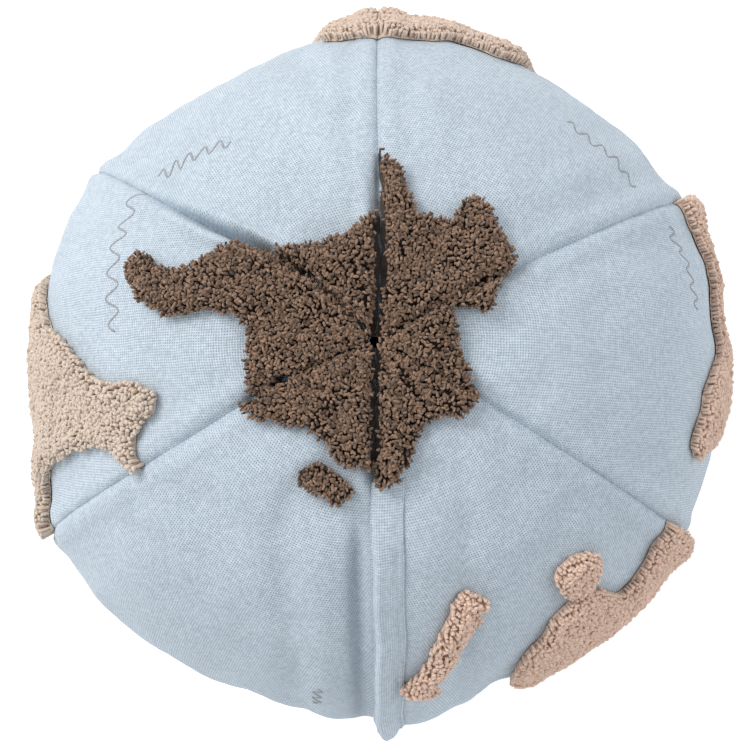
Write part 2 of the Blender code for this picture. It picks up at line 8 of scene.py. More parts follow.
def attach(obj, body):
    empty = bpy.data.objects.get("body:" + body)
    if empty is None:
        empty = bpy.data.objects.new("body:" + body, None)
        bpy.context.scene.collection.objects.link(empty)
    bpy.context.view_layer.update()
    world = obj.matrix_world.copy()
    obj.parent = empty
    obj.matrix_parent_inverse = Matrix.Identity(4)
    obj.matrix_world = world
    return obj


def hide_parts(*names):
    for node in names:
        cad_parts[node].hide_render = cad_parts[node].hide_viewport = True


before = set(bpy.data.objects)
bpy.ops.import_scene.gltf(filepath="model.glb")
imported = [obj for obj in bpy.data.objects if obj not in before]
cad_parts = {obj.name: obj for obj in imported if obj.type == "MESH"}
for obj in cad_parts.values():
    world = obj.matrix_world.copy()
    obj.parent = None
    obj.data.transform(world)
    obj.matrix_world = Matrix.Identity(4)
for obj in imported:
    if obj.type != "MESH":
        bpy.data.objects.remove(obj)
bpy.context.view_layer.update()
TURN = 2.0 * math.pi
RIPPLE_WAVES = 7

# ---- the cushion's driving dimensions, as the frame was made (metres, degrees) -------------
SIDE_RADIUS = 0.165
SIDE_OFFSET = 0.037
SIDE_HALF_ANGLE = 75.0
BASE_RADIUS = 0.078
CLOTH = 0.0008
PANEL_FLAT = 0.045
SEAM_STAND = 0.015
CROWN_DIMPLE = 0.008
CROWN_DIMPLE_RADIUS = 0.035
POLE_HOLE = 0.0030
SEAMS = ((0.0, 5.0), (62.5, -2.0), (120.0, -4.0), (180.0, 0.0), (242.5, 7.0), (304.0, 16.0))
SEAM_SWAY_ANGLE = 23.0
PANEL_NAMES = ("back_right", "right", "front_right", "front_left", "left", "back_left")
SEAM_PARTING = (0.0021, 0.0, 0.0, 0.0012, 0.0, 0.0)
ZIP_X = 0.0067
ZIP_TOP = 66.0
ZIP_BOTTOM = -50.0
PLACKET_TOP = 73.0
PLACKET_BOTTOM = -62.0
PLACKET_STEP = 0.0044
PLACKET_TURN = -3.0          # where on the side arc the placket turns under
PLACKET_LEFT = -0.0010
PLACKET_RIGHT = 0.0140
SEWN_EDGE = (0.0085, 0.0120)
PANEL_EDGE_LEFT = 0.0012
PANEL_EDGE_RIGHT = 0.0115
LAND_HALF_WIDTH = 0.022
LAND_FADE = 0.024
THREAD_PITCH = 0.00130
THREAD_RELIEF = 0.00022

POLE_ARC_SINK = SIDE_OFFSET * math.tan(math.radians(SIDE_HALF_ANGLE))
POLE_ARC_RADIUS = SIDE_RADIUS + SIDE_OFFSET / math.cos(math.radians(SIDE_HALF_ANGLE))
MIDDLE = math.sqrt(POLE_ARC_RADIUS ** 2 - BASE_RADIUS ** 2) - POLE_ARC_SINK
GLOBE = SIDE_RADIUS * 1.2

# ---- tufted land: panel, and coast points as azimuth and polar angle in degrees ------------
LAND = {
    "antarctica_back_right": (0, (
        (-4, 31), (2, 30), (5.5, 29), (9.5, 26.5), (14, 24.3), (16.5, 22.2), (20, 21), (24, 22), (28, 22),
        (33, 23), (32, 26.5), (38, 28), (43, 27), (48, 26), (58, 25.5), (67, 24), (67, 0.9),
        (0, 0.9))),
    "antarctica_right": (1, (
        (56, 23), (67, 21), (72, 20), (75, 18.5), (71, 16), (70, 13.5), (83, 13), (92, 13),
        (105, 15), (114, 17), (124, 18.5), (124, 0.9), (56, 0.9))),
    "antarctica_front_right": (2, (
        (110, 18), (126, 18), (133, 17.5), (138, 16), (148, 15.5), (154, 16), (160, 18), (166, 20),
        (172, 22), (184, 23), (184, 0.9), (110, 0.9))),
    "antarctica_front_left": (3, (
        (176, 20), (185, 20), (193, 20), (200, 19), (207, 18), (214, 17), (221, 18), (228, 19.5),
        (234, 21), (240, 22.5), (254, 23.5), (254, 0.9), (176, 0.9))),
    "antarctica_left": (4, (
        (240, 21), (254, 20.5), (262, 21), (270, 20), (276, 20.5), (280, 23), (280.5, 27),
        (278, 31.5), (279.5, 36), (282.5, 39.5), (288, 42.5), (291.5, 40), (290, 34), (293, 31),
        (301, 28.5), (314, 25.5), (322, 14), (322, 0.9), (240, 0.9))),
    "antarctica_back_left": (5, (
        (300, 21.5), (320, 20), (328, 18.5), (339, 18), (347, 18), (353, 19), (368, 21),
        (368, 0.9), (300, 0.9))),
    "polar_island": (3, (
        (210.5, 23.5), (208, 21), (204, 20.3), (197, 21), (190.5, 22), (187, 23.3), (189, 24.6),
        (193, 26), (199, 25.6), (206.5, 25))),
    "south_america": (4, (
        (277.5, 68), (275, 64), (271.5, 56), (266, 50), (262.5, 45), (262, 41), (259.5, 37), (257, 36),
        (252, 38), (249, 41), (238, 42), (238, 43.5), (247, 45.5), (250, 48), (251, 55), (251, 66),
        (248, 73), (238, 76), (240, 84), (250, 96), (258, 106), (268, 110), (280, 104), (286, 93),
        (283, 79))),
    "africa_back_left": (5, (
        (366, 60), (354, 62), (350, 65), (351, 71), (352, 79), (346, 87), (332, 92), (324, 97),
        (324, 107), (334, 115), (348, 118), (366, 117))),
    "africa_back_right": (0, (
        (-6, 60), (7, 61.5), (11, 62), (14, 65), (20, 66), (23, 67), (26, 72), (26.5, 79), (28, 87),
        (35, 93), (44, 97), (40, 100), (30, 104), (26, 113), (14, 118), (-6, 117))),
    "spice_islands": (1, (
        (58, 68), (66, 69), (71, 72), (77, 76.5), (82, 74), (86, 76), (90, 72), (92, 67), (96, 63),
        (104, 61), (108, 62), (107, 67), (104, 72), (101, 80), (97, 89), (88, 95), (76, 97),
        (58, 92))),
    "australia": (2, (
        (114, 63.5), (123, 63), (130, 65), (134, 65), (136, 60), (139, 56), (146, 56.5), (150, 60),
        (155, 64), (157, 71), (157, 80), (153, 90), (147, 87), (143, 95), (134, 92), (127, 94),
        (114, 86))),
    "tasmania": (2, (
        (141.5, 47.5), (138, 47), (134, 49), (133, 51.5), (136, 55), (139, 55.5), (142, 54),
        (142.7, 50.5))),
    "new_zealand": (2, (
        (175.5, 57), (175, 59), (173, 60), (170.5, 60.5), (170, 58.5), (168.5, 56), (165.5, 53.5),
        (162, 50.5), (159, 48), (156.5, 45), (160.5, 42), (164.5, 43.5), (168.5, 48), (172.5, 54))),
    "asia_back_right": (0, (
        (-6, 127), (10, 125), (24, 128), (34, 124), (44, 116), (54, 109), (68, 105), (68, 141),
        (40, 141), (18, 140), (-6, 141))),
    "asia_right": (1, (
        (56, 105), (66, 108), (72, 117), (79, 116), (84, 106), (96, 104), (103, 109), (109, 107),
        (126, 110), (126, 141), (104, 141), (84, 141), (56, 141))),
    "asia_front_right": (2, (
        (114, 110), (130, 113), (137, 119), (141, 128), (150, 133), (157, 138), (150, 141),
        (136, 141), (114, 141))),
    "europe": (5, (
        (366, 127), (352, 125), (345, 128), (347, 134), (343, 139), (352, 141), (366, 141))),
    "north_america_front_left": (3, (
        (191, 141), (188, 136), (198, 132), (208, 126), (218, 121), (228, 119), (248, 122),
        (248, 141), (220, 141))),
    "north_america_left": (4, (
        (237, 122), (248, 119), (254, 113), (259, 115), (262, 122), (272, 125), (280, 131),
        (290, 136), (286, 141), (262, 141), (237, 141))),
    "greenland": (5, ((309, 139), (313, 133), (322, 131), (329, 135), (327, 140), (318, 141))),
}
BROWN_LAND = ("antarctica", "polar")
WARMTH = (0.35, 0.9, 1.0, 0.5, 0.0, 0.3)     # how peachy the beige yarn of each panel is, from 0 to 1

# how far each seam, and each panel's middle, stands out from the even ball
SEAM_FULLNESS = (-0.007, -0.007, -0.005, 0.0, 0.006, -0.007)
PANEL_FULLNESS = (-0.0095, -0.006, -0.005, 0.0045, -0.006, -0.0145)
PANEL_SKEW = (0.0, 0.0, 0.0, 0.005, 0.010, 0.0)      # moves a panel's fullest place towards its later seam

# ---- numbers of the cloth and yarn ---------------------------------------------------------
SKIN_ACROSS = 26             # simulated cells across one panel
SKIN_DOWN = 84               # simulated cells from pole to pole
SETTLE_STEPS = 22
SETTLE_REACH = 0.006         # how far the simulation may move the cloth
PANEL_COLUMNS = 88
PANEL_ROWS = 212
BROWN_TUFTS = (0.00144, 0.00061, 0.9)     # spacing, yarn radius and share of the full curl
BEIGE_TUFTS = (0.00181, 0.00093, 0.7)
PILE_HEIGHT = 0.0082
PAD_HEIGHT = 0.0034
PAD_INSET = 0.0012
PAD_LIFT = 0.0006


# ---- the cover's surface -------------------------------------------------------------------
def smooth_step(low, high, value):
    """0 below low, 1 above high, and a smooth cubic rise between."""
    share = np.clip((value - low) / (high - low), 0.0, 1.0)
    return share * share * (3.0 - 2.0 * share)


def bell(value, centre, width):
    """1 at the centre, falling smoothly towards 0 a few widths to either side."""
    return np.exp(-((value - centre) / width) ** 2)


def unit(vectors):
    """The vectors, each brought to length 1."""
    return vectors / np.maximum(np.linalg.norm(vectors, axis=-1, keepdims=True), 1e-12)


def ripple(points, length, seed):
    """Smooth unevenness about 0: plane waves of about one length in all directions, laid together."""
    draw = np.random.default_rng(seed)
    heading = unit(draw.normal(size=(RIPPLE_WAVES, points.shape[-1])))
    pitch = TURN / (length * draw.uniform(0.7, 1.5, RIPPLE_WAVES))
    phase = draw.uniform(0.0, TURN, RIPPLE_WAVES)
    waves = [np.cos(points @ way * step + start) for way, step, start in zip(heading, pitch, phase)]
    return sum(waves) / math.sqrt(RIPPLE_WAVES)


def meridian(polar):
    """Distance from the middle to the seam outline: a side arc, and a flatter arc at each pole."""
    across = np.sin(polar)
    along = np.abs(np.cos(polar))
    side = SIDE_OFFSET * across + np.sqrt(np.maximum(SIDE_RADIUS ** 2 - (SIDE_OFFSET * along) ** 2, 0))
    pole = np.sqrt(np.maximum(POLE_ARC_RADIUS ** 2 - (POLE_ARC_SINK * across) ** 2, 0))
    pole = pole - POLE_ARC_SINK * along
    half = math.radians(SIDE_HALF_ANGLE)
    joint = math.atan2(SIDE_OFFSET + SIDE_RADIUS * math.cos(half), SIDE_RADIUS * math.sin(half))
    return np.where(np.minimum(polar, math.pi - polar) < joint, pole, side)


def seam_azimuth(index, polar):
    """Azimuth of one seam at a polar angle, in radians: straight down the side, swayed at the crown."""
    turns, number = divmod(index, len(SEAMS))
    azimuth, sway = SEAMS[number]
    near_crown = bell(polar, 0.0, math.radians(SEAM_SWAY_ANGLE))
    return np.radians(360.0 * turns + azimuth + sway * near_crown)


def across_panel(panel, azimuth, polar):
    """Place across a panel, from 0 at its left seam to 1 at its right seam."""
    left = seam_azimuth(panel, polar)
    right = seam_azimuth(panel + 1, polar)
    return (azimuth - left) / (right - left)


def zip_land(azimuth, polar):
    """Share of the straight strip at the covered zip, and its distance from the middle.

    The strip is the seam outline carried sideways, so its distance is the outline's distance in
    the front plane divided by how much of the direction lies in that plane.
    """
    sideways = np.sin(polar) * np.sin(azimuth)
    forward = -np.sin(polar) * np.cos(azimuth)
    upright = np.cos(polar)
    in_plane = np.maximum(np.hypot(forward, upright), 1e-6)
    distance = meridian(np.arctan2(np.abs(forward), upright)) / in_plane
    beside = np.abs(distance * sideways)
    share = 1.0 - smooth_step(LAND_HALF_WIDTH, LAND_HALF_WIDTH + LAND_FADE, beside)
    elevation = np.degrees(np.arctan2(upright * distance, distance * forward - SIDE_OFFSET))
    share = share * smooth_step(ZIP_BOTTOM - 22.0, ZIP_BOTTOM - 12.0, elevation)
    share = share * (1.0 - smooth_step(PLACKET_TOP + 2.0, PLACKET_TOP + 9.0, elevation))
    return np.where(forward > 0.0, share, 0.0), distance


def ball_point(panel, azimuth, polar):
    """Point of the cover as cut: the outline, laid in between seams, dimpled at the crown."""
    azimuth, polar = np.broadcast_arrays(np.asarray(azimuth, float), np.asarray(polar, float))
    across = np.clip(2.0 * across_panel(panel, azimuth, polar) - 1.0, -1.0, 1.0)
    outline = meridian(polar)
    girth = np.sin(polar) ** 3
    gore = outline * (1.0 + girth * (SEAM_STAND - PANEL_FLAT * (1.0 - across ** 2)))
    dimple = CROWN_DIMPLE * bell(outline * np.sin(polar), 0.0, CROWN_DIMPLE_RADIUS)
    gore = gore - np.where(polar < math.pi / 2, dimple, 0.0)
    gore = gore + np.sin(polar) ** 2 * fullness(panel, across)
    share, front = zip_land(azimuth, polar)
    distance = gore * (1.0 - share) + front * share
    base = MIDDLE / np.maximum(-np.cos(polar), 1e-6)
    distance = np.where(polar > math.pi / 2, np.minimum(distance, base), distance)
    radius = distance * np.sin(polar)
    return np.stack((radius * np.sin(azimuth), radius * np.cos(azimuth),
                     MIDDLE + distance * np.cos(polar)), axis=-1)


def fullness(panel, across):
    """How far the cover stands out beyond the even ball, going from seam to seam past a panel's middle."""
    left, right = SEAM_FULLNESS[panel % len(SEAMS)], SEAM_FULLNESS[(panel + 1) % len(SEAMS)]
    straight = left + (right - left) * 0.5 * (across + 1.0)
    bulge = PANEL_FULLNESS[panel] - 0.5 * (left + right) + PANEL_SKEW[panel] * across
    return straight + bulge * (1.0 - across ** 2)


def skin_rest():
    """Grid of the cover as cut, for each panel: rows from crown to base, columns seam to seam."""
    polar = np.radians(np.linspace(0.8, 179.2, SKIN_DOWN + 1))[:, None]
    share = np.linspace(0.0, 1.0, SKIN_ACROSS + 1)[None, :]
    grids = []
    for panel in range(len(SEAMS)):
        left = seam_azimuth(panel, polar)
        right = seam_azimuth(panel + 1, polar)
        grids.append(ball_point(panel, left + (right - left) * share, polar))
    return np.stack(grids), polar


def held_weight(grids, polar):
    """How firmly the cloth is held: sewn seams, the zip strip and the base firmly, open cloth softly."""
    share = np.linspace(0.0, 1.0, SKIN_ACROSS + 1)[None, :]
    weights = []
    for panel in range(len(SEAMS)):
        left = seam_azimuth(panel, polar)
        right = seam_azimuth(panel + 1, polar)
        azimuth = left + (right - left) * share
        land, _ = zip_land(azimuth, np.broadcast_to(polar, azimuth.shape))
        seam = bell(np.minimum(share, 1.0 - share), 0.0, 0.125) * np.ones_like(azimuth)
        base = smooth_step(0.010, 0.003, grids[panel][..., 2])
        crown = smooth_step(math.radians(5.0), math.radians(2.0), polar) * np.ones_like(azimuth)
        weights.append(np.maximum.reduce((land, 0.75 * seam, base, crown, np.full_like(azimuth, 0.04))))
    return np.stack(weights)


def ironed(grid):
    """The grid with its shortest creases smoothed out, round the cover and down it."""
    grid = 0.5 * grid + 0.25 * (np.roll(grid, 1, axis=1) + np.roll(grid, -1, axis=1))
    padded = np.concatenate((grid[:1], grid, grid[-1:]))
    return 0.5 * grid + 0.25 * (padded[:-2] + padded[2:])


def settle_cover(grids, polar):
    """Cloth simulation of the filled cover: slightly full cloth, pushed out, held at its seams."""
    rows, columns = SKIN_DOWN + 1, len(SEAMS) * SKIN_ACROSS
    ring = grids[:, :, :-1].transpose(1, 0, 2, 3).reshape(rows * columns, 3)
    weights = held_weight(grids, polar)[:, :, :-1].transpose(1, 0, 2).reshape(rows * columns)
    corner = np.arange(rows * columns).reshape(rows, columns)
    beside = np.roll(corner, -1, axis=1)
    quads = np.stack((corner[:-1], beside[:-1], beside[1:], corner[1:]), axis=-1).reshape(-1, 4)
    mesh = bpy.data.meshes.new("cover_cloth")
    mesh.from_pydata(ring.tolist(), [], quads.tolist())
    cover = bpy.data.objects.new("cover_cloth", mesh)
    bpy.context.scene.collection.objects.link(cover)
    group = cover.vertex_groups.new(name="held")
    for level in np.unique(np.round(weights, 2)):
        group.add(np.flatnonzero(np.round(weights, 2) == level).tolist(), float(level), "REPLACE")
    cloth = cover.modifiers.new("Cloth", "CLOTH")
    settings = cloth.settings
    settings.quality = 6
    settings.mass = 0.4
    settings.tension_stiffness = 40.0
    settings.compression_stiffness = 40.0
    settings.shear_stiffness = 20.0
    settings.bending_stiffness = 1.5
    settings.shrink_min = -0.025
    settings.vertex_group_mass = "held"
    settings.pin_stiffness = 6.0
    settings.use_pressure = True
    settings.uniform_pressure_force = 2.5
    settings.effector_weights.gravity = 0.0
    scene = bpy.context.scene
    for step in range(SETTLE_STEPS):
        scene.frame_set(step + 1)
    graph = bpy.context.evaluated_depsgraph_get()
    moved = np.empty(rows * columns * 3)
    cover.evaluated_get(graph).data.vertices.foreach_get("co", moved)
    bpy.data.objects.remove(cover, do_unlink=True)
    bpy.data.meshes.remove(mesh)
    scene.frame_set(1)
    shift = moved.reshape(-1, 3) - ring
    length = np.linalg.norm(shift, axis=1, keepdims=True)
    shift *= SETTLE_REACH * np.tanh(length / SETTLE_REACH) / np.maximum(length, 1e-9)
    shift = ironed(shift.reshape(rows, columns, 3))
    settled = (ring.reshape(rows, columns, 3) + shift).reshape(rows, len(SEAMS), SKIN_ACROSS, 3)
    settled = settled.transpose(1, 0, 2, 3)
    closing = np.roll(settled, -1, axis=0)[:, :, :1]
    return np.concatenate((settled, closing), axis=2)


def padded_grid(grids):
    """The grids with one more row and column on each side, carried on straight."""
    for axis in (1, 2):
        first = 2 * grids.take([0], axis) - grids.take([1], axis)
        last = 2 * grids.take([-1], axis) - grids.take([-2], axis)
        grids = np.concatenate((first, grids, last), axis=axis)
    return grids


def spline_weights(share):
    """Catmull-Rom weights of the four nearest grid lines for a share of the way between two."""
    s, s2, s3 = share, share ** 2, share ** 3
    return 0.5 * np.stack((2 * s2 - s - s3, 2 - 5 * s2 + 3 * s3, s + 4 * s2 - 3 * s3, s3 - s2))


REST_GRIDS, REST_POLAR = skin_rest()
SKIN = padded_grid(settle_cover(REST_GRIDS, REST_POLAR))


def skin_point(panel, azimuth, polar):
    """Point of the settled cover: a smooth surface through the simulated grid."""
    azimuth, polar = np.broadcast_arrays(np.asarray(azimuth, float), np.asarray(polar, float))
    u = np.clip(across_panel(panel, azimuth, polar), 0.0, 1.0) * SKIN_ACROSS
    first, last = REST_POLAR[0, 0], REST_POLAR[-1, 0]
    v = np.clip((polar - first) / (last - first), -0.005, 1.005) * SKIN_DOWN
    column = np.clip(np.floor(u).astype(int), 0, SKIN_ACROSS - 1)
    row = np.clip(np.floor(v).astype(int), 0, SKIN_DOWN - 1)
    weight_u, weight_v = spline_weights(u - column), spline_weights(v - row)
    total = np.zeros((*azimuth.shape, 3))
    for a in range(4):
        for b in range(4):
            share = (weight_v[a] * weight_u[b])[..., None]
            total += share * SKIN[panel, row + a, column + b]
    return total


def skin_frame(panel, azimuth, polar):
    """Point, outward normal, and the directions across and down, of the settled cover."""
    step = 0.002
    point = skin_point(panel, azimuth, polar)
    lean = np.where(across_panel(panel, azimuth, polar) > 0.5, -step, step)
    lean = lean / np.maximum(np.sin(polar), 0.05)
    across = (skin_point(panel, azimuth + lean, polar) - point) * np.sign(lean)[..., None]
    down = skin_point(panel, azimuth, polar + step) - skin_point(panel, azimuth, polar - step)
    across, down = unit(across), unit(down)
    return point, unit(np.cross(across, down)), across, down


def seam_distance(panel, azimuth, polar):
    """Distance along the cover to the nearer of a panel's two seams."""
    radius = meridian(polar) * np.sin(polar)
    turn = np.minimum(azimuth - seam_azimuth(panel, polar), seam_azimuth(panel + 1, polar) - azimuth)
    return np.maximum(turn, 0.0) * radius


# the fold that each seam makes near the crown: its depth, its width on the panel before the seam
# and on the panel after it, the polar angle of its middle and how far it reaches in degrees
CROWN_FOLDS = (
    (0.0030, 0.0035, 0.0035, 16.0, 14.0),
    (0.0012, 0.0050, 0.0050, 24.0, 12.0),
    (0.0016, 0.0050, 0.0040, 24.0, 12.0),
    (0.0026, 0.0035, 0.0035, 14.0, 14.0),
    (0.0022, 0.0050, 0.0045, 26.0, 14.0),
    (0.0110, 0.0022, 0.0022, 27.0, 12.5),
)


# the two sizes of slow unevenness in the cloth: height, length of its waves and seed
CLOTH_RIPPLES = ((0.00035, 0.030, 11), (0.00018, 0.012, 12))
GROOVE_DEPTH = 0.0020        # where a seam is stitched
GROOVE_WIDTH = 0.0016
SWELL_HEIGHT = 0.0011        # where the seam allowance lies under the cloth
SWELL_AWAY = 0.0070
SWELL_WIDTH = 0.0048
PUCKER_HEIGHT = 0.00046      # waves that the seam's stitches draw the cloth into
PUCKER_REACH = 0.011
FOLD_SHOULDER = 0.30         # share of a crown fold's depth that stands up beside it


def cloth_detail(panel, azimuth, polar, point):
    """Height of the cloth's own unevenness: stitched grooves, puckers at the seams, crown folds.

    Each is a bell curve of the distance from the seam; the puckers are waves along the seam.
    """
    radius = meridian(polar) * np.sin(polar)
    height = sum(size * ripple(point, length, seed) for size, length, seed in CLOTH_RIPPLES)
    land, _ = zip_land(azimuth, polar)
    for side, way in ((panel, 1.0), (panel + 1, -1.0)):
        away = np.maximum(way * (azimuth - seam_azimuth(side, polar)) * radius, 0.0)
        groove = -GROOVE_DEPTH * bell(away, 0.0, GROOVE_WIDTH)
        swell = SWELL_HEIGHT * bell(away, SWELL_AWAY, SWELL_WIDTH)
        along = polar * GLOBE
        wave = np.sin(along / 0.0021 + 2.5 * np.sin(along / 0.011 + side)) + np.sin(along / 0.0047 + side)
        pucker = PUCKER_HEIGHT * wave * np.exp(-away / PUCKER_REACH) * smooth_step(0.0, 0.003, away)
        depth, before, after, centre, reach = CROWN_FOLDS[side % len(SEAMS)]
        near = depth * bell(np.degrees(polar), centre, reach)
        width = after if way > 0 else before
        fold = near * (FOLD_SHOULDER * bell(away, 2.4 * width, 1.5 * width) - bell(away, 0.0, width))
        height = height + (groove + swell + pucker) * smooth_step(0.002, 0.02, radius) + fold
    base = smooth_step(0.001, 0.012, point[..., 2])
    return height * (1.0 - land) * (0.15 + 0.85 * base) + beside_placket(point) * base


def placket_ends(elevation):
    """1 along the placket, falling to 0 at both its ends."""
    ends = smooth_step(PLACKET_BOTTOM, PLACKET_BOTTOM + 4.5, elevation)
    return ends * (1.0 - smooth_step(PLACKET_TOP - 8.0, PLACKET_TOP + 5.0, elevation))


def placket_turn(elevation, width):
    """1 where the placket turns under the ball, falling to 0 a few widths above and below."""
    return bell(elevation, PLACKET_TURN, width)


def placket_step(elevation):
    """How far the canvas at the placket's sewn edge stands out: less where the placket turns under."""
    return PLACKET_STEP * placket_ends(elevation) * (1.0 - 0.6 * placket_turn(elevation, 14.0))


def beside_placket(point):
    """Height by which the canvas swells to meet the placket's sewn edge, and dips at its free edge."""
    x = point[..., 0]
    elevation = np.degrees(np.arctan2(point[..., 2] - MIDDLE, -point[..., 1] - SIDE_OFFSET))
    reach = 0.018 - 0.010 * placket_turn(elevation, 14.0)
    right = smooth_step(*SEWN_EDGE, x) * bell(np.maximum(x, PLACKET_RIGHT), PLACKET_RIGHT, reach)
    left = 0.0010 * bell(x, -0.026, 0.011) - 0.0042 * bell(x, -0.0080, 0.0042)
    left = left * (0.10 + 0.90 * smooth_step(2.0, 24.0, elevation)) * placket_ends(elevation)
    return (placket_step(elevation) * right + left) * (point[..., 1] < 0.0)


def canvas_frame(panel, azimuth, polar, lift=0.0):
    """Point of the finished canvas with its detail, raised by lift, and the cover's directions."""
    azimuth, polar = np.broadcast_arrays(np.asarray(azimuth, float), np.asarray(polar, float))
    point, normal, across, down = skin_frame(panel, azimuth, polar)
    radial = unit(point - np.array((0.0, 0.0, MIDDLE)))
    own = smooth_step(0.0, 0.005, seam_distance(panel, azimuth, polar))[..., None]
    normal = unit(normal * own + radial * (1.0 - own))
    height = cloth_detail(panel, azimuth, polar, point) + lift
    return point + normal * height[..., None], normal, across, down


def zip_point(x, elevation, out):
    """Point near the zip: x across, degrees along the side arc, and distance out of the canvas."""
    angle = np.radians(elevation)
    reach = SIDE_RADIUS + out
    x, reach, angle = np.broadcast_arrays(x, reach, angle)
    return np.stack((x, -(SIDE_OFFSET + reach * np.cos(angle)), MIDDLE + reach * np.sin(angle)), axis=-1)


# ---- meshes --------------------------------------------------------------------------------
def mesh_piece(name, points, quads=None, triangles=None, material=None, uv=None, colour=None):
    """A piece from whole arrays: points, four- and three-cornered faces, a UV and a colour a point."""
    points = np.asarray(points, float).reshape(-1, 3)
    corners, sizes = [], []
    for faces in (quads, triangles):
        if faces is not None and len(faces):
            faces = np.asarray(faces, np.int32)
            corners.append(faces.ravel())
            sizes.append(np.full(len(faces), faces.shape[1], np.int32))
    corners, sizes = np.concatenate(corners), np.concatenate(sizes)
    mesh = bpy.data.meshes.new(name)
    mesh.vertices.add(len(points))
    mesh.vertices.foreach_set("co", points.astype(np.float32).ravel())
    mesh.loops.add(len(corners))
    mesh.loops.foreach_set("vertex_index", corners)
    mesh.polygons.add(len(sizes))
    mesh.polygons.foreach_set("loop_start", np.concatenate(([0], np.cumsum(sizes)[:-1])).astype(np.int32))
    mesh.polygons.foreach_set("use_smooth", np.ones(len(sizes), bool))
    if uv is not None:
        layer = mesh.uv_layers.new(name="pattern")
        layer.data.foreach_set("uv", np.asarray(uv, np.float32).reshape(-1, 2)[corners].ravel())
    if colour is not None:
        layer = mesh.color_attributes.new("yarn", "FLOAT_COLOR", "POINT")
        layer.data.foreach_set("color", np.asarray(colour, np.float32).ravel())
    mesh.update(calc_edges=True)
    mesh.validate()
    piece = bpy.data.objects.new(name, mesh)
    bpy.context.scene.collection.objects.link(piece)
    if material is not None:
        mesh.materials.append(material)
    return piece


def grid_quads(rows, columns, closed_down=False, closed_across=False, start=0):
    """Faces of a grid of points, rows by columns, wrapped round where it is closed."""
    corner = np.arange(rows * columns).reshape(rows, columns) + start
    down = np.roll(corner, -1, axis=0)
    rows_used = rows if closed_down else rows - 1
    columns_used = columns if closed_across else columns - 1
    beside, beyond = np.roll(corner, -1, axis=1), np.roll(down, -1, axis=1)
    faces = np.stack((corner, beside, beyond, down), axis=-1)[:rows_used, :columns_used]
    return faces.reshape(-1, 4)


def shell(name, outer, inner, material, uv):
    """A thin closed wall between two grids: outer faces, inner faces turned round, and a rim."""
    rows, columns = outer.shape[:2]
    count = rows * columns
    quads = grid_quads(rows, columns)
    corner = np.arange(count).reshape(rows, columns)
    rim = np.concatenate((corner[0], corner[1:, -1], corner[-1, -2::-1], corner[-2:0:-1, 0]))
    after = np.roll(rim, -1)
    wall = np.stack((rim + count, after + count, after, rim), axis=-1)
    faces = np.concatenate((quads, quads[:, ::-1] + count, wall))
    return mesh_piece(name, np.concatenate((outer.reshape(-1, 3), inner.reshape(-1, 3))), faces,
                      material=material, uv=np.concatenate((uv.reshape(-1, 2), uv.reshape(-1, 2))))


def place(piece, material_slot, *nodes):
    """The piece rides the cushion and stands for these frame nodes, which are hidden; material_slot is not
    used.
    """
    if nodes:
        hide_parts(*nodes)
    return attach(piece, "cushion")


# ---- materials -----------------------------------------------------------------------------
class Nodes:
    """A material's node tree: short ways to add nodes and join them."""

    def __init__(self, name):
        self.material = bpy.data.materials.new(name)
        self.material.use_nodes = True
        self.tree = self.material.node_tree
        self.tree.nodes.clear()
        self.shader = self.tree.nodes.new("ShaderNodeBsdfPrincipled")
        output = self.tree.nodes.new("ShaderNodeOutputMaterial")
        self.tree.links.new(self.shader.outputs[0], output.inputs[0])

    def put(self, target, value):
        """A socket gets a link from another socket, or a constant."""
        if isinstance(value, bpy.types.NodeSocket):
            self.tree.links.new(value, target)
        else:
            target.default_value = value

    def math(self, operation, first, second=0.0):
        node = self.tree.nodes.new("ShaderNodeMath")
        node.operation = operation
        self.put(node.inputs[0], first)
        self.put(node.inputs[1], second)
        return node.outputs[0]

    def add(self, first, second):
        return self.math("ADD", first, second)

    def times(self, first, second):
        return self.math("MULTIPLY", first, second)

    def noise(self, vector, scale, detail=2.0, roughness=0.5):
        node = self.tree.nodes.new("ShaderNodeTexNoise")
        self.put(node.inputs["Vector"], vector)
        node.inputs["Scale"].default_value = scale
        node.inputs["Detail"].default_value = detail
        node.inputs["Roughness"].default_value = roughness
        return node.outputs["Fac"]

    def mix(self, share, first, second):
        node = self.tree.nodes.new("ShaderNodeMix")
        node.data_type = "RGBA"
        for socket, value in zip((node.inputs[0], node.inputs[6], node.inputs[7]), (share, first, second)):
            self.put(socket, value)
        return node.outputs[2]

    def remap(self, value, low, high, start=0.0, end=1.0):
        node = self.tree.nodes.new("ShaderNodeMapRange")
        self.put(node.inputs["Value"], value)
        for name, number in (("From Min", low), ("From Max", high), ("To Min", start), ("To Max", end)):
            node.inputs[name].default_value = number
        return node.outputs["Result"]

    def bump(self, height, distance, strength=1.0):
        node = self.tree.nodes.new("ShaderNodeBump")
        self.put(node.inputs["Height"], height)
        node.inputs["Distance"].default_value = distance
        node.inputs["Strength"].default_value = strength
        self.tree.links.new(node.outputs[0], self.shader.inputs["Normal"])

    def place(self):
        return self.tree.nodes.new("ShaderNodeTexCoord").outputs["Object"]

    def set(self, **values):
        names = {"colour": "Base Color", "rough": "Roughness", "metal": "Metallic", "sheen": "Sheen Weight",
                 "sheen_rough": "Sheen Roughness", "specular": "Specular IOR Level"}
        for name, value in values.items():
            self.put(self.shader.inputs[names[name]], value)


def rgb(red, green, blue):
    """Linear colour of a screen colour given from 0 to 255."""
    values = np.array((red, green, blue)) / 255.0
    linear = np.where(values <= 0.04045, values / 12.92, ((values + 0.055) / 1.055) ** 2.4)
    return (*(float(v) for v in linear), 1.0)


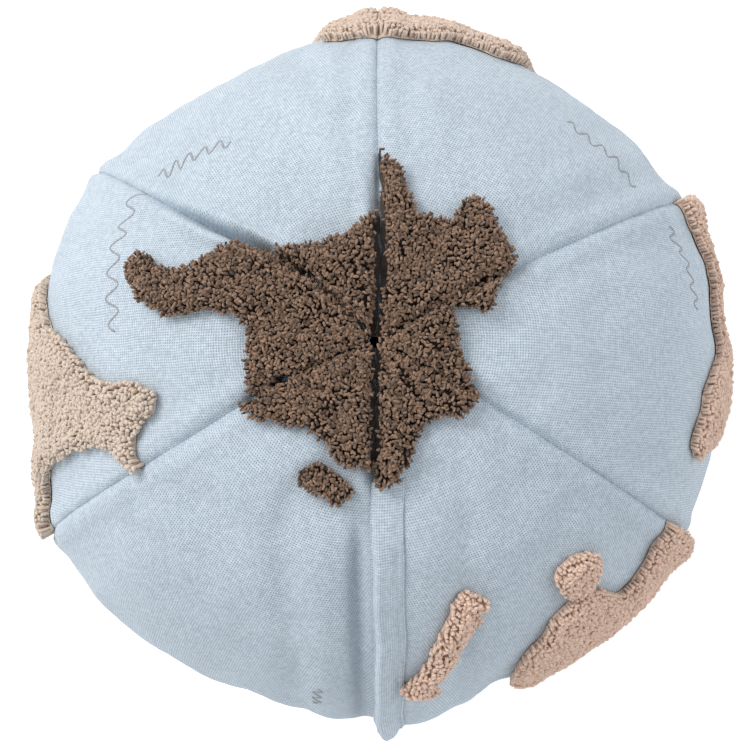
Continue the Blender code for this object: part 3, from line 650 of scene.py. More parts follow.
def woven(name, colour, fleck_and_shade):
    """Plain weave on the flat pattern: threads both ways pass over and under in turn.

    A thread's height is a sine along it, of opposite sign on neighbouring threads, and the
    higher of the two sets shows. Slubs, specks and slow patches vary the colour, and painted
    shade darkens the low parts of the threads and the pinholes between them.
    """
    n = Nodes(name)
    coordinates = n.tree.nodes.new("ShaderNodeUVMap")
    coordinates.uv_map = "pattern"
    parts = n.tree.nodes.new("ShaderNodeSeparateXYZ")
    n.tree.links.new(coordinates.outputs[0], parts.inputs[0])
    object_place = n.place()
    drift = n.math("SUBTRACT", n.noise(object_place, 60.0, 2.0), 0.5)
    drift_across = n.math("SUBTRACT", n.noise(object_place, 230.0, 1.0), 0.5)
    turns = math.pi / THREAD_PITCH
    across = n.add(n.times(parts.outputs[0], turns), n.times(drift, 4.0))
    down = n.add(n.times(parts.outputs[1], turns), n.times(drift_across, 2.0))
    warp = n.math("ABSOLUTE", n.math("SINE", across))
    weft = n.math("ABSOLUTE", n.math("SINE", down))
    parity = n.times(n.math("SINE", n.add(across, TURN / 4)), n.math("SINE", n.add(down, TURN / 4)))
    over = n.add(n.times(parity, 0.35), 0.5)
    warp_height = n.times(warp, n.add(over, 0.45))
    weft_height = n.times(weft, n.math("SUBTRACT", 1.45, over))
    height = n.math("MAXIMUM", warp_height, weft_height)
    pinhole_shade = n.remap(n.math("MAXIMUM", warp, weft), 0.15, 0.62, 1.0, 0.0)
    slubs = n.remap(n.noise(object_place, 420.0, 3.0, 0.7), 0.35, 0.68)
    patches = n.remap(n.noise(object_place, 26.0, 4.0, 0.6), 0.3, 0.7)
    thread = n.mix(n.remap(slubs, 0.0, 1.0, 0.0, 0.36), colour, fleck_and_shade)
    thread = n.mix(n.remap(patches, 0.0, 1.0, 0.0, 0.10), thread, fleck_and_shade)
    specks = n.remap(n.noise(object_place, 900.0, 1.0, 0.9), 0.70, 0.76)
    thread = n.mix(n.times(specks, 0.55), thread, fleck_and_shade)
    # painted shade: the threads darken where they dip low between crossings
    thread = n.mix(n.remap(height, 0.35, 1.0, 0.60, 0.0), thread, fleck_and_shade)
    # painted shade in the pinholes between the threads
    cloth = n.mix(n.times(pinhole_shade, 0.85), thread, fleck_and_shade)
    n.set(colour=cloth, rough=0.92, specular=0.18, sheen=0.12, sheen_rough=0.5)
    n.bump(n.add(height, n.times(slubs, 0.5)), THREAD_RELIEF, 0.9)
    return n.material


def yarn(name, colour, warm, dark_tone_and_shade, variety, root):
    """Tufted yarn: each tuft has its own tone, and painted shade darkens it towards its root between its
    neighbours.
    """
    n = Nodes(name)
    shade = n.tree.nodes.new("ShaderNodeAttribute")
    shade.attribute_name = "yarn"
    parts = n.tree.nodes.new("ShaderNodeSeparateColor")
    n.tree.links.new(shade.outputs["Color"], parts.inputs[0])
    object_place = n.place()
    fibres = n.remap(n.noise(object_place, 2600.0, 2.0, 0.6), 0.3, 0.7)
    tone = n.mix(parts.outputs[2], colour, warm)
    tone = n.mix(n.remap(parts.outputs[0], 0.0, 1.0, 0.0, variety), tone, dark_tone_and_shade)
    tone = n.mix(n.remap(fibres, 0.0, 1.0, 0.5 * variety, 0.0), tone, dark_tone_and_shade)
    # painted shade: darker towards each yarn's root, where its neighbours crowd round it
    tone = n.mix(n.remap(parts.outputs[1], 0.0, 0.9, root, 0.0), tone, dark_tone_and_shade)
    n.set(colour=tone, rough=0.95, specular=0.1, sheen=0.35, sheen_rough=0.4)
    n.bump(fibres, 0.00025, 0.7)
    return n.material


def plain(name, colour, other, scale, rough=0.9, metal=0.0, depth=0.0001):
    """One colour varied by noise, with a bump of the same noise."""
    n = Nodes(name)
    grain = n.noise(n.place(), scale, 4.0, 0.6)
    n.set(colour=n.mix(n.remap(grain, 0.3, 0.7), colour, other), rough=rough, metal=metal)
    n.bump(grain, depth, 0.5)
    return n.material


# the second colour serves the slubs, specks and slow patches, and the painted shade in the weave's dips and
# pinholes
CANVAS = woven("canvas", rgb(216, 227, 236), rgb(112, 132, 150))
# the last number of each yarn is how strongly painted shade darkens it towards its root
BROWN_YARN = yarn("brown_yarn", rgb(192, 156, 130), rgb(192, 156, 130), rgb(34, 23, 17), 0.92, 0.90)
BEIGE_YARN = yarn("beige_yarn", rgb(230, 214, 199), rgb(249, 217, 197), rgb(200, 174, 154), 0.28, 0.42)
INK = plain("ink", rgb(140, 140, 142), rgb(168, 170, 174), 900.0)
THREAD = plain("sewing_thread", rgb(196, 206, 214), rgb(160, 172, 182), 1500.0)
TAPE = plain("tape_cloth", rgb(176, 188, 198), rgb(150, 162, 174), 1800.0)
NYLON = plain("nylon", rgb(186, 198, 208), rgb(160, 172, 184), 300.0, rough=0.45)
METAL = plain("nickel", rgb(176, 176, 172), rgb(150, 150, 148), 400.0, rough=0.3, metal=1.0)
LINER = plain("liner_cloth", rgb(226, 226, 222), rgb(200, 200, 198), 1500.0)
FIBRE = plain("fibre", rgb(240, 240, 238), rgb(214, 214, 212), 300.0, depth=0.002)


# ---- flat pattern --------------------------------------------------------------------------
PATTERN_POLAR = np.linspace(0.0, math.pi, 721)
PATTERN_STEP = np.hypot(np.diff(meridian(PATTERN_POLAR) * np.cos(PATTERN_POLAR)),
                        np.diff(meridian(PATTERN_POLAR) * np.sin(PATTERN_POLAR)))
PATTERN_DOWN = np.concatenate(([0.0], np.cumsum(PATTERN_STEP)))


def spread(panel, azimuth, polar):
    """Flat pattern position of a direction: across from the panel's middle, and down from the crown."""
    middle = 0.5 * (seam_azimuth(panel, polar) + seam_azimuth(panel + 1, polar))
    across = (azimuth - middle) * meridian(polar) * np.sin(polar)
    return np.stack((across, np.interp(polar, PATTERN_POLAR, PATTERN_DOWN)), axis=-1)


def gather(panel, flat):
    """Azimuth and polar angle of a flat pattern position."""
    polar = np.interp(flat[..., 1], PATTERN_DOWN, PATTERN_POLAR)
    middle = 0.5 * (seam_azimuth(panel, polar) + seam_azimuth(panel + 1, polar))
    return middle + flat[..., 0] / np.maximum(meridian(polar) * np.sin(polar), 1e-4), polar


# ---- canvas panels -------------------------------------------------------------------------
def seam_gap(polar, beside_zip):
    """Distance of a panel's edge from its seam line: a hair, or more beside the zip."""
    distance = meridian(polar)
    elevation = np.degrees(np.arctan2(distance * np.cos(polar), distance * np.sin(polar) - SIDE_OFFSET))
    zone = smooth_step(ZIP_BOTTOM - 12.0, ZIP_BOTTOM - 7.0, elevation)
    zone = zone * (1.0 - smooth_step(ZIP_TOP + 2.5, ZIP_TOP + 6.0, elevation))
    return beside_zip * zone


def make_panel(panel):
    """One gore of canvas from pole to pole; the two front ones stop beside the zip."""
    polar = np.radians(np.linspace(1.0, 179.9, PANEL_ROWS + 1))
    width = np.maximum(meridian(polar) * np.sin(polar), POLE_HOLE)
    left_gap, right_gap = np.zeros_like(polar), np.zeros_like(polar)
    if PANEL_NAMES[panel] == "front_right":
        right_gap = seam_gap(polar, PANEL_EDGE_RIGHT)
    if PANEL_NAMES[panel] == "front_left":
        left_gap = seam_gap(polar, -PANEL_EDGE_LEFT)
    start = seam_azimuth(panel, polar) + left_gap / width
    end = seam_azimuth(panel + 1, polar) - right_gap / width
    even = np.linspace(0.0, 1.0, PANEL_COLUMNS + 1)
    share = 0.55 * even + 0.45 * (0.5 - 0.5 * np.cos(even * math.pi))
    azimuth = start[:, None] + (end - start)[:, None] * share[None, :]
    polar = np.broadcast_to(polar[:, None], azimuth.shape)
    outer, normal, _, _ = canvas_frame(panel, azimuth, polar)
    inner = outer - normal * CLOTH
    for side in (outer, inner):
        side[..., 2] = np.maximum(side[..., 2], 0.0)
    inner[..., 2] = np.maximum(inner[..., 2], np.where(outer[..., 2] < CLOTH, CLOTH, 0.0))
    flat = spread(panel, azimuth, polar)
    name = PANEL_NAMES[panel]
    piece = shell(f"canvas_{name}", outer, inner, CANVAS, flat)
    return place(piece, "canvas", f"panel_{name}")


# ---- tufted land ---------------------------------------------------------------------------
def smooth_loop(points, step):
    """Points a step apart along a closed smooth curve through the given points."""
    here = np.asarray(points, float)
    share = np.linspace(0.0, 1.0, 9)[:-1, None]
    before, after, beyond = np.roll(here, 1, axis=0), np.roll(here, -1, axis=0), np.roll(here, -2, axis=0)
    curve = []
    for a, b, c, d in zip(before, here, after, beyond):
        curve.append(0.5 * (2 * b + (c - a) * share + (2 * a - 5 * b + 4 * c - d) * share ** 2
                            + (3 * b - a - 3 * c + d) * share ** 3))
    curve = np.concatenate(curve)
    reach = np.linalg.norm(np.roll(curve, -1, axis=0) - curve, axis=1)
    length = np.concatenate(([0.0], np.cumsum(reach)))
    wanted = np.linspace(0.0, length[-1], max(int(length[-1] / step), 8) + 1)[:-1]
    closed = np.vstack((curve, curve[:1]))
    return np.stack([np.interp(wanted, length, closed[:, axis]) for axis in (0, 1)], axis=1)


def drawn_to_seams(panel, azimuth, polar, parting):
    """Azimuths held between the panel's two seams, less a share of the parting that each seam leaves."""
    radius = np.maximum(meridian(polar) * np.sin(polar), 0.0015)
    parting = parting * (0.25 + 0.75 * np.exp(-(polar / math.radians(20.0)) ** 6))
    left = SEAM_PARTING[panel] * parting / radius
    right = SEAM_PARTING[(panel + 1) % len(SEAMS)] * parting / radius
    return np.clip(azimuth, seam_azimuth(panel, polar) + left, seam_azimuth(panel + 1, polar) - right)


def inside(loop, points):
    """Which flat points lie inside a closed loop."""
    x, y = points[:, 0][:, None], points[:, 1][:, None]
    x0, y0 = loop[:, 0], loop[:, 1]
    x1, y1 = np.roll(x0, -1), np.roll(y0, -1)
    crosses = (y0 > y) != (y1 > y)
    rise = np.where(np.abs(y1 - y0) < 1e-12, 1e-12, y1 - y0)
    return (crosses & (x < (x1 - x0) * (y - y0) / rise + x0)).sum(axis=1) % 2 == 1


def stepped_along_seams(panel, coast):
    """The coast with more points on its sides beyond a seam, so that smoothing keeps those straight."""
    beyond = np.abs(across_panel(panel, coast[:, 0], coast[:, 1]) - 0.5) > 0.5
    stepped = []
    for here, after, out_here, out_after in zip(coast, np.roll(coast, -1, 0), beyond, np.roll(beyond, -1)):
        shares = np.linspace(0.0, 1.0, 7)[:-1] if out_here and out_after else (0.0,)
        stepped += [here + (after - here) * share for share in shares]
    return np.array(stepped)


COAST_STEP = 0.0022
COAST_WOBBLE = 0.0007


def coast_loop(panel, coast, seed, parting=1.0, inset=0.0):
    """A coast in the flat pattern, smoothed, cut along the seams and made a little uneven."""
    coast = stepped_along_seams(panel, np.radians(np.asarray(coast, float)))
    held = drawn_to_seams(panel, coast[:, 0], coast[:, 1], parting)
    loop = smooth_loop(spread(panel, held, coast[:, 1]), COAST_STEP)
    along = np.roll(loop, -1, axis=0) - np.roll(loop, 1, axis=0)
    outward = unit(np.stack((along[:, 1], -along[:, 0]), axis=1))
    turned = np.sign((loop[:, 0] * along[:, 1] - loop[:, 1] * along[:, 0]).sum())
    open_water = smooth_step(0.0, 0.004, seam_distance(panel, *gather(panel, loop)))
    shift = turned * (COAST_WOBBLE * ripple(loop, 0.012, seed) - inset * open_water)
    loop = loop + outward * shift[:, None]
    azimuth, polar = gather(panel, loop)
    polar = np.maximum(polar, math.radians(0.9))
    loop = spread(panel, drawn_to_seams(panel, azimuth, polar, parting), polar)
    far = np.linalg.norm(np.roll(loop, -1, axis=0) - loop, axis=1) > COAST_STEP * 0.25
    return loop[far]


def hex_grid(loop, spacing, draw, jitter):
    """Jittered points in offset rows inside a closed loop."""
    low, high = loop.min(axis=0), loop.max(axis=0)
    across, down = np.meshgrid(np.arange(low[0], high[0], spacing),
                               np.arange(low[1], high[1], spacing * 0.87))
    across = across + (np.arange(across.shape[0])[:, None] % 2) * spacing / 2
    field = np.stack((across.ravel(), down.ravel()), axis=1)
    field = field + draw.uniform(-jitter, jitter, field.shape) * spacing
    return field[inside(loop, field)]


def to_coast(loop, points):
    """Distance of flat points from a closed loop, and the flat direction towards it."""
    start, reach = loop, np.roll(loop, -1, axis=0) - loop
    offset = points[:, None] - start[None]
    share = np.clip((offset * reach).sum(axis=2) / (reach ** 2).sum(axis=1), 0.0, 1.0)
    nearest = start[None] + share[..., None] * reach[None] - points[:, None]
    distance = np.linalg.norm(nearest, axis=2)
    pick = distance.argmin(axis=1)
    rows = np.arange(len(points))
    distance = distance[rows, pick]
    return distance, nearest[rows, pick] / np.maximum(distance, 1e-9)[:, None]


def pad_mesh(panel, loop, draw):
    """The backing under the tufts, a slab inset from the coast: points, triangles and walls."""
    field = hex_grid(loop, 0.0045, draw, 0.1)
    if len(field):
        field = field[to_coast(loop, field)[0] > 0.0025]
    flat = np.concatenate((loop, field))
    edges = [(i, (i + 1) % len(loop)) for i in range(len(loop))]
    result = geometry.delaunay_2d_cdt([Vector(p) for p in flat], edges, [tuple(range(len(loop)))], 1, 1e-7)
    points = np.array([tuple(p) for p in result[0]])
    triangles = np.array([tuple(face) for face in result[2]], int)
    azimuth, polar = gather(panel, points)
    edge = to_coast(loop, points)[0]
    seam = bell(seam_distance(panel, azimuth, polar), 0.0, 0.002)
    height = PAD_HEIGHT * np.maximum(0.08 + 0.92 * smooth_step(0.0, 0.0035, edge), 0.5 * seam)
    under, _, _, _ = canvas_frame(panel, azimuth, polar, PAD_LIFT)
    over, _, _, _ = canvas_frame(panel, azimuth, polar, PAD_LIFT + height)
    count = len(points)
    sides = np.concatenate([triangles[:, (a, (a + 1) % 3)] for a in range(3)])
    keys = {(int(a), int(b)) for a, b in sides}
    rim = np.array([(a, b) for a, b in sorted(keys) if (b, a) not in keys])
    walls = np.stack((rim[:, 0], rim[:, 1], rim[:, 1] + count, rim[:, 0] + count), axis=1)
    return np.concatenate((under, over)), np.concatenate((triangles + count, triangles[:, ::-1])), walls


TUFT_SIDES = 5
TUFT_RINGS = 3


def circles(side, up, sides):
    """Points on a circle of radius 1 for each pair of directions square to each other."""
    angle = TURN * np.arange(sides) / sides
    return side[:, None] * np.cos(angle)[None, :, None] + up[:, None] * np.sin(angle)[None, :, None]


def tuft_mesh(base, up, across, down, edge, outward, open_coast, thickness, curl, warmth, draw):
    """Bent yarns, all at once: each rises from the backing, then lies over in its own direction.

    A yarn's middle line is a point a ring; the ring is a circle across the line there, and the
    last ring closes in a rounded tip. Near the coast the yarns are shorter and lean outwards.
    """
    count = len(base)
    turn = draw.uniform(0.0, TURN, count) + 0.35 * ripple(base, 0.010, 21)
    lying = np.cos(turn)[:, None] * across + np.sin(turn)[:, None] * down
    coastward = outward[:, :1] * across + outward[:, 1:] * down
    shoulder = ((1.0 - smooth_step(0.0005, 0.0050, edge)) * open_coast)[:, None]
    lying = unit(lying * (1.0 - 0.45 * shoulder) + coastward * shoulder * 0.5)
    side = np.cross(up, lying)
    parting = smooth_step(0.6, 1.4, ripple(base, 0.014, 22))
    parting = parting + smooth_step(0.8, 1.6, ripple(base, 0.008, 23))
    top = PILE_HEIGHT * (1.0 - 0.38 * shoulder[:, 0]) + draw.normal(0.0, 0.0005, count)
    top = np.clip(top - 0.0007 * parting, 0.0056, 0.0095)[:, None]
    length = curl * draw.uniform(0.0010, 0.0026, (count, 1)) * (1.0 - 0.45 * shoulder)
    radius = thickness * draw.uniform(0.82, 1.18, (count, 1))
    root = (PAD_LIFT + 0.0016 * smooth_step(0.0, 0.003, edge))[:, None]
    lean = coastward * shoulder * 0.0010
    line = (base + up * root,
            base + up * (top - radius * 1.2) + lean + lying * (0.12 * length),
            base + up * (top - radius * 1.1) + lean + lying * length,
            base + up * (top - radius * 1.6) + lean + lying * (length + radius * 0.8))
    heading = (up, unit(0.6 * lying + 0.7 * up), unit(lying - 0.25 * up))
    rings = [centre[:, None] + circles(side, np.cross(along, side), TUFT_SIDES) * (radius * size)[:, None]
             for centre, along, size in zip(line, heading, (0.85, 1.15, 0.95))]
    points = np.concatenate([*rings, line[-1][:, None]], axis=1)
    corner = np.arange(TUFT_SIDES)
    after = (corner + 1) % TUFT_SIDES
    quads = np.concatenate([np.stack((corner, after, after + TUFT_SIDES, corner + TUFT_SIDES), axis=1)
                            + ring * TUFT_SIDES for ring in range(TUFT_RINGS - 1)])
    last = (TUFT_RINGS - 1) * TUFT_SIDES
    caps = np.stack((last + corner, last + after, np.full(TUFT_SIDES, last + TUFT_SIDES)), axis=1)
    each = TUFT_SIDES * TUFT_RINGS + 1
    shift = (np.arange(count) * each)[:, None, None]
    shade = draw.beta(2.0, 2.6, count)
    # how far up the yarn each ring lies, from which the yarn material paints shade at the root
    tip = np.repeat(np.array((0.0, 0.85, 1.0, 1.0)), (TUFT_SIDES,) * TUFT_RINGS + (1,))
    colour = np.ones((count, each, 4))
    colour[..., 0] = shade[:, None]
    colour[..., 1] = tip[None, :]
    colour[..., 2] = warmth
    return (points.reshape(-1, 3), (quads[None] + shift).reshape(-1, 4),
            (caps[None] + shift).reshape(-1, 3), colour.reshape(-1, 4))


def make_land(order, name, panel, coast):
    """A piece of tufted land: its backing, and yarns over the whole of it."""
    draw = np.random.default_rng(100 + order)
    loop = coast_loop(panel, coast, 30 + order)
    backing = coast_loop(panel, coast, 30 + order, parting=0.0, inset=PAD_INSET)
    pad_points, pad_triangles, pad_walls = pad_mesh(panel, backing, draw)
    brown = name.startswith(BROWN_LAND)
    spacing, thickness, curl = BROWN_TUFTS if brown else BEIGE_TUFTS
    field = hex_grid(loop, spacing, draw, 0.30)
    edge, outward = to_coast(loop, field)
    seam = seam_distance(panel, *gather(panel, field))
    keep = (edge > 0.0007) | (seam < edge + 0.0008)
    field, edge, outward = field[keep], edge[keep], outward[keep]
    azimuth, polar = gather(panel, field)
    base, up, across, down = canvas_frame(panel, azimuth, polar)
    open_coast = smooth_step(0.001, 0.005, seam_distance(panel, azimuth, polar) - edge)
    warmth = WARMTH[panel]
    points, quads, caps, colour = tuft_mesh(base, up, across, down, edge, outward, open_coast,
                                            thickness, curl, warmth, draw)
    # the backing is coloured as yarn near its root: a middling tone with nearly the full painted shade
    pad_tone_and_shade = np.tile((0.5, 0.1, warmth, 1.0), (len(pad_points), 1))
    start = len(pad_points)
    look = BROWN_YARN if brown else BEIGE_YARN
    piece = mesh_piece(f"tufts_{name}", np.concatenate((pad_points, points)),
                       np.concatenate((pad_walls, quads + start)),
                       np.concatenate((pad_triangles, caps + start)), look,
                       colour=np.concatenate((pad_tone_and_shade, colour)))
    return place(piece, "brown_pile" if brown else "beige_pile", f"pile_{name}")


# ---- wave marks printed on the sea ---------------------------------------------------------
# panel, azimuth and polar angle of the first crest, heading on the panel in degrees, crests,
# crest width and crest height in metres
WAVES = (
    (4, 273.5, 43.8, 15.0, 6, 0.0140, 0.0085),
    (5, 308.5, 49.0, -23.0, 5, 0.0092, 0.0070),
    (0, 39.5, 54.8, 8.0, 5, 0.0104, 0.0075),
    (1, 66.5, 60.0, 6.5, 5, 0.0092, 0.0075),
    (3, 190.0, 62.0, 102.0, 3, 0.0070, 0.0045),
)


def make_waves(order, panel, azimuth, polar, heading, crests, pitch, height):
    """A row of even crests printed on the canvas as one thin brush line."""
    start = spread(panel, np.radians(azimuth), np.radians(polar))
    steps = crests * 20 + 1
    along = np.linspace(0.0, crests * pitch, steps)
    crest = np.sin(TURN * along / pitch)
    middle = np.stack((along + 0.06 * pitch * crest, 0.5 * height * crest), axis=1)
    ahead = unit(np.gradient(middle, axis=0))
    across = np.stack((-ahead[:, 1], ahead[:, 0]), axis=1)
    width = (0.00028 + 0.00022 * np.abs(ahead[:, 1]))[:, None]
    turn = math.radians(heading)
    spin = np.array(((math.cos(turn), math.sin(turn)), (-math.sin(turn), math.cos(turn))))
    edges = [start + (middle + sign * width * across) @ spin for sign in (1.0, 0.33, -0.33, -1.0)]
    flat = np.stack(edges, axis=1)
    azimuth, polar = gather(panel, flat)
    outer, _, _, _ = canvas_frame(panel, azimuth, polar, 0.00022)
    inner, _, _, _ = canvas_frame(panel, azimuth, polar, 0.00004)
    return place(shell(f"wave_mark_{order:02d}", outer, inner, INK, flat), "canvas")


# ---- covered zip ---------------------------------------------------------------------------
PLACKET_THICKNESS = 0.0014
PLACKET_RISE = 0.0069
PLACKET_GAP = 0.0003
PLACKET_REACH = 80.0
PLACKET_STEPS = 150
SECTION_POINTS = 18
STITCH_X = 0.0126
STITCH_PITCH = 0.0034
COIL_INNER = 0.0007
COIL_OUTER = 0.0023
COIL_MIDDLE = -0.0009
TOOTH_PITCH = 0.0016


def placket_middle(x, elevation):
    """Height of the folded strip's middle over the canvas: sewn at its right, free at its left."""
    ends = placket_ends(elevation)
    closed = 0.96 - 0.14 * smooth_step(-22.0, 0.0, elevation)
    phase = closed * math.pi * (PLACKET_RIGHT - x) / (PLACKET_RIGHT - PLACKET_LEFT)
    belly = 0.0020 * bell(elevation, -6.0, 24.0) + 0.0030 * placket_turn(elevation, 11.0)
    wrinkle = 0.00035 * np.sin(elevation * 0.55) + 0.00025 * np.sin(elevation * 1.27 + 1.0)
    rise = PLACKET_RISE + belly + wrinkle * smooth_step(0.0005, 0.004, PLACKET_RIGHT - x)
    sewn = placket_step(elevation) * smooth_step(*SEWN_EDGE, x)
    lip = 0.0022 * bell(x, PLACKET_LEFT + 0.0024, 0.0026)
    dome = (rise * np.sin(phase) ** 0.7 + lip) * ends
    return PLACKET_GAP + placket_half(x, elevation) + np.maximum(dome, sewn + dome * 0.25)


def placket_half(x, elevation):
    """Half of the strip's thickness: less towards the crown, and least at the sewn edge."""
    thin = 1.0 - 0.6 * smooth_step(66.0, PLACKET_REACH, elevation)
    return PLACKET_THICKNESS / 2 * thin * (1.0 - 0.7 * smooth_step(SEWN_EDGE[0], PLACKET_RIGHT, x))


def on_front_seam(x, elevation, out):
    """Point over the front seam: x across, degrees along the side arc, and distance out of the cover."""
    x, elevation, out = np.broadcast_arrays(np.asarray(x, float), elevation, out)
    angle = np.radians(elevation)
    polar = np.arctan2(SIDE_OFFSET + SIDE_RADIUS * np.cos(angle), SIDE_RADIUS * np.sin(angle))
    turn = np.arcsin(np.clip(x / (meridian(polar) * np.sin(polar)), -1.0, 1.0))
    right, right_up, _, _ = skin_frame(2, math.pi - np.maximum(turn, 0.0), polar)
    left, left_up, _, _ = skin_frame(3, math.pi - np.minimum(turn, 0.0), polar)
    rightward = (x > 0.0)[..., None]
    return np.where(rightward, right, left) + np.where(rightward, right_up, left_up) * out[..., None]


def on_placket(x, elevation, out):
    """Point of the strip: it is drawn in where it turns under, and wanders a little all the way."""
    drawn_in = 1.0 - 0.24 * placket_turn(elevation, 16.0)
    wander = 0.0005 * np.sin(np.radians(elevation) * 9.0) + 0.0003 * np.sin(np.radians(elevation) * 23.0)
    return on_front_seam(ZIP_X + (x - ZIP_X) * drawn_in + wander, elevation, out)


def make_placket():
    """The folded strip of canvas over the zip, swept down the side arc, with its row of stitching."""
    elevation = np.linspace(PLACKET_REACH, PLACKET_BOTTOM, PLACKET_STEPS)[:, None]
    x = np.linspace(PLACKET_LEFT, PLACKET_RIGHT, SECTION_POINTS)
    middle = placket_middle(x[None, :], elevation)
    half = placket_half(x[None, :], elevation)
    turn = np.radians(np.linspace(-90.0, 90.0, 7)[1:-1])[None, :]
    section_x = np.concatenate((x, x[::-1], PLACKET_LEFT - PLACKET_THICKNESS / 2 * np.cos(turn[0])))
    fold_out = middle[:, :1] + half[:, :1] * np.sin(turn)
    out = np.concatenate((middle + half, (middle - half)[:, ::-1], fold_out), axis=1)
    points = on_placket(section_x[None, :], elevation, out)
    rows, columns = out.shape
    quads = grid_quads(rows, columns, closed_across=True)
    count = SECTION_POINTS
    corner = np.arange(count - 1)
    cap = np.stack((2 * count - 1 - corner, 2 * count - 2 - corner, corner + 1, corner), axis=1)
    last = (rows - 1) * columns
    girth = np.concatenate(([0.0], np.cumsum(np.hypot(np.diff(section_x), np.diff(out[rows // 2])))))
    flat = np.stack(np.broadcast_arrays(girth[None, :], -np.radians(elevation) * SIDE_RADIUS), axis=-1)
    fold = (0, 2 * count - 1, *range(2 * count, columns))
    strip = mesh_piece("placket_cloth", points, np.concatenate((quads, cap, cap[:, ::-1] + last)),
                       fan(fold) + fan(tuple(last + i for i in reversed(fold))), CANVAS, flat)
    place(strip, "canvas", "placket")
    along = np.arange(PLACKET_BOTTOM + 2.0, PLACKET_TOP - 3.0, math.degrees(STITCH_PITCH / SIDE_RADIUS))
    place(stitch_row(along), "canvas")


def fan(loop):
    """Triangles over a flat loop of points, all from its first point."""
    return [(loop[0], a, b) for a, b in zip(loop[1:], loop[2:])]


def capsules(name, start, end, outward, radius, material):
    """Short thick threads from start to end, all at once: six sides, two rings, a tip at each end."""
    along = end - start
    length = np.linalg.norm(along, axis=1, keepdims=True)
    along /= length
    side = unit(np.cross(outward, along))
    ring = circles(side, np.cross(along, side), 6) * radius
    rings = [(start + along * length * share)[:, None] + ring for share in (0.18, 0.82)]
    points = np.concatenate((start[:, None], rings[0], rings[1], end[:, None]), axis=1)
    corner = np.arange(6)
    after = (corner + 1) % 6
    quads = np.stack((1 + corner, 1 + after, 7 + after, 7 + corner), axis=1)
    caps = np.concatenate((np.stack((1 + after, 1 + corner, np.zeros(6, int)), axis=1),
                           np.stack((7 + corner, 7 + after, np.full(6, 13)), axis=1)))
    shift = (np.arange(len(start)) * 14)[:, None, None]
    quads, caps = (quads[None] + shift).reshape(-1, 4), (caps[None] + shift).reshape(-1, 3)
    return mesh_piece(name, points, quads, caps, material)


def stitch_row(along):
    """A row of stitches lying on the placket beside its sewn edge."""
    half = math.degrees(STITCH_PITCH / SIDE_RADIUS) * 0.38
    out = placket_middle(STITCH_X, along) + placket_half(STITCH_X, along) + 0.00012
    ends = [on_placket(STITCH_X, along + way * half, out) for way in (-1.0, 1.0)]
    outward = zip_point(0.0, along, 0.01) - zip_point(0.0, along, 0.0)
    return capsules("placket_stitching", *ends, outward, 0.00028, THREAD)


def make_teeth(side, sign):
    """The nylon coil of one tape: short bars across the tape's edge, a pitch apart."""
    pitch = math.degrees(TOOTH_PITCH / SIDE_RADIUS)
    along = np.arange(ZIP_BOTTOM + pitch, ZIP_TOP - pitch * 0.5, pitch) + (sign > 0) * pitch * 0.5
    near = zip_point(ZIP_X + sign * COIL_INNER, along, COIL_MIDDLE)
    far = zip_point(ZIP_X + sign * COIL_OUTER, along, COIL_MIDDLE)
    outward = zip_point(0.0, along, 0.01) - zip_point(0.0, along, 0.0)
    teeth = capsules(f"zip_teeth_{side}", near, far, outward, 0.00055, NYLON)
    place(teeth, "zip_coil", f"zip_coil_{side}")


def keep_frame_node(name, material):
    """A small solid node keeps its shape and gets a procedural finish."""
    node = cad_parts[name]
    node.data.materials.clear()
    node.data.materials.append(material)


# ---- inside --------------------------------------------------------------------------------
LINER_DEPTH = 0.0050
LINER_THICKNESS = 0.0008
FILLING_DEPTH = 0.0100
CROWN_ROOM = 0.013           # how much deeper the liner and filling lie under the folds at the crown
INSIDE_ROWS = 70
INSIDE_COLUMNS = 60
LINER_HALVES = (("right", 0.15, 179.85), ("left", 180.15, 359.85))


def inside_grid(start, end, depth):
    """Grid of points under the canvas between two azimuths, from pole to pole."""
    polar = np.linspace(math.radians(1.5), math.radians(178.5), INSIDE_ROWS + 1)[:, None]
    azimuth = np.radians(np.linspace(start, end, INSIDE_COLUMNS + 1))[None, :]
    azimuth, polar = np.broadcast_arrays(azimuth, polar)
    points = np.zeros((*azimuth.shape, 3))
    for panel in range(-1, len(SEAMS)):
        mine = (azimuth >= seam_azimuth(panel, polar)) & (azimuth <= seam_azimuth(panel + 1, polar))
        if mine.any():
            turned = azimuth[mine] + (TURN if panel < 0 else 0.0)
            here, normal, _, _ = skin_frame(panel % len(SEAMS), turned, polar[mine])
            fold = CROWN_ROOM * np.exp(-(polar[mine] / math.radians(48.0)) ** 6)
            points[mine] = here - normal * (depth + fold)[:, None]
    return points


def make_liner_and_filling():
    """Two liner halves sewn along the front and back, and the filling that they hold."""
    for side, start, end in LINER_HALVES:
        outer = inside_grid(start, end, LINER_DEPTH)
        inner = inside_grid(start, end, LINER_DEPTH + LINER_THICKNESS)
        piece = shell(f"inner_bag_{side}", outer, inner, LINER, outer[..., :2])
        place(piece, "liner_cloth", f"liner_{side}")
    halves = [inside_grid(start, end, FILLING_DEPTH) for _, start, end in LINER_HALVES]
    ring = np.concatenate(halves, axis=1)
    rows, columns = ring.shape[:2]
    points = np.concatenate((ring.reshape(-1, 3), ring[:1].mean(axis=1), ring[-1:].mean(axis=1)))
    corner, last = np.arange(columns), (rows - 1) * columns
    after = (corner + 1) % columns
    top, bottom = np.full(columns, rows * columns), np.full(columns, rows * columns + 1)
    poles = np.concatenate((np.stack((after, corner, top), axis=1),
                            np.stack((last + corner, last + after, bottom), axis=1)))
    stuffing = mesh_piece("stuffing", points, grid_quads(rows, columns, closed_across=True), poles, FIBRE)
    place(stuffing, "filling_fibre", "filling")


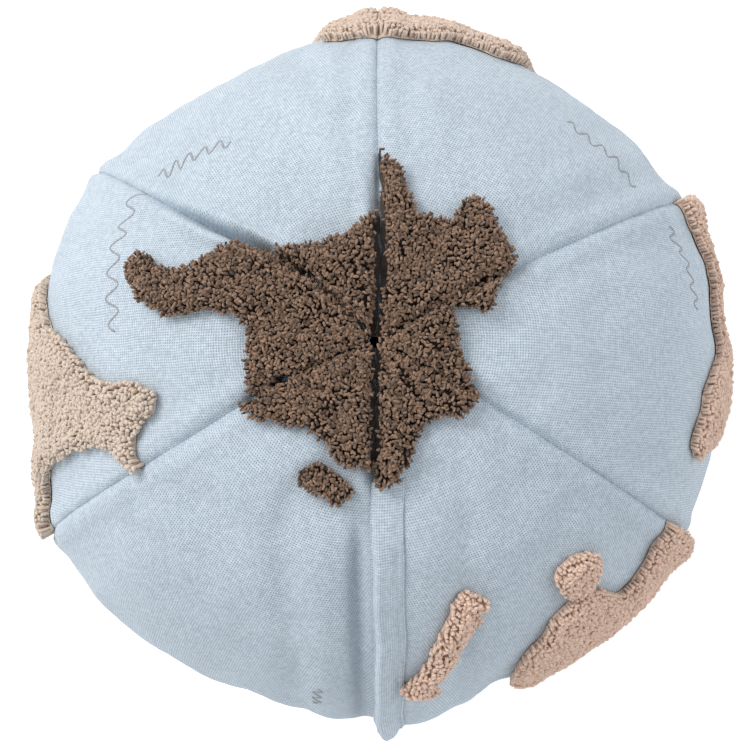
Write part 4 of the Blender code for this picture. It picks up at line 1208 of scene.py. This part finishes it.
# ---- stage ---------------------------------------------------------------------------------
FLOOR_REACH = 4.0
CAMERA_AT = (0.011, -0.056, MIDDLE + 0.798)
CAMERA_AIM = (-0.002, -0.006, MIDDLE)
CAMERA_LENS = 64.8


def soft_light(name, place_at, size, power, colour):
    """A square soft light aimed at the cushion's middle."""
    lamp = bpy.data.lights.new(name, "AREA")
    lamp.shape = "SQUARE"
    lamp.size = size
    lamp.energy = power
    lamp.color = colour
    light = bpy.data.objects.new(name, lamp)
    bpy.context.scene.collection.objects.link(light)
    light.location = place_at
    light.rotation_euler = (Vector((0.0, 0.0, MIDDLE)) - light.location).to_track_quat("-Z", "Y").to_euler()


def make_stage():
    """A pale floor, soft light from the upper left, and the camera nearly over the crown."""
    n = Nodes("floor_white")
    n.set(colour=(0.86, 0.87, 0.88, 1.0), rough=0.9)
    n.shader.inputs["Emission Color"].default_value = (1.0, 1.0, 1.0, 1.0)
    n.shader.inputs["Emission Strength"].default_value = 0.42
    corners = [(x * FLOOR_REACH, y * FLOOR_REACH, 0.0) for x, y in ((-1, -1), (1, -1), (1, 1), (-1, 1))]
    floor = mesh_piece("floor", corners, [(0, 1, 2, 3)], material=n.material)
    floor.location.z = -0.0005
    world = bpy.data.worlds.new("studio")
    bpy.context.scene.world = world
    world.use_nodes = True
    background = world.node_tree.nodes["Background"]
    background.inputs[0].default_value = (0.97, 0.985, 1.0, 1.0)
    background.inputs[1].default_value = 0.60
    soft_light("key", (-1.15, 0.90, 1.55), 1.1, 25.0, (1.0, 0.985, 0.965))
    soft_light("fill", (1.45, 0.20, 1.25), 1.4, 7.5, (0.97, 0.98, 1.0))
    soft_light("front", (-1.3, -0.9, 1.1), 1.2, 3.5, (0.96, 0.98, 1.0))
    camera = bpy.data.objects.new("camera", bpy.data.cameras.new("camera"))
    bpy.context.scene.collection.objects.link(camera)
    bpy.context.scene.camera = camera
    camera.data.lens = CAMERA_LENS
    camera.data.sensor_width = 36.0
    place_at = Vector(CAMERA_AT)
    ahead = (Vector(CAMERA_AIM) - place_at).normalized()
    right = ahead.cross(Vector((0.0, 1.0, 0.0))).normalized()
    turn = Matrix((right, right.cross(ahead), -ahead)).transposed()
    camera.matrix_world = Matrix.Translation(place_at) @ turn.to_4x4()
    bpy.context.scene.view_settings.view_transform = "Standard"


def main():
    for panel in range(len(SEAMS)):
        make_panel(panel)
    for order, (name, (panel, coast)) in enumerate(LAND.items()):
        make_land(order, name, panel, coast)
    for order, wave in enumerate(WAVES):
        make_waves(order, *wave)
    make_placket()
    for side, sign in (("left", -1.0), ("right", 1.0)):
        make_teeth(side, sign)
        keep_frame_node(f"zip_tape_{side}", TAPE)
    for name in ("zip_stop_closed_end", "zip_stop_open_end", "zip_slider", "zip_pull"):
        keep_frame_node(name, METAL)
    make_liner_and_filling()
    make_stage()


main()
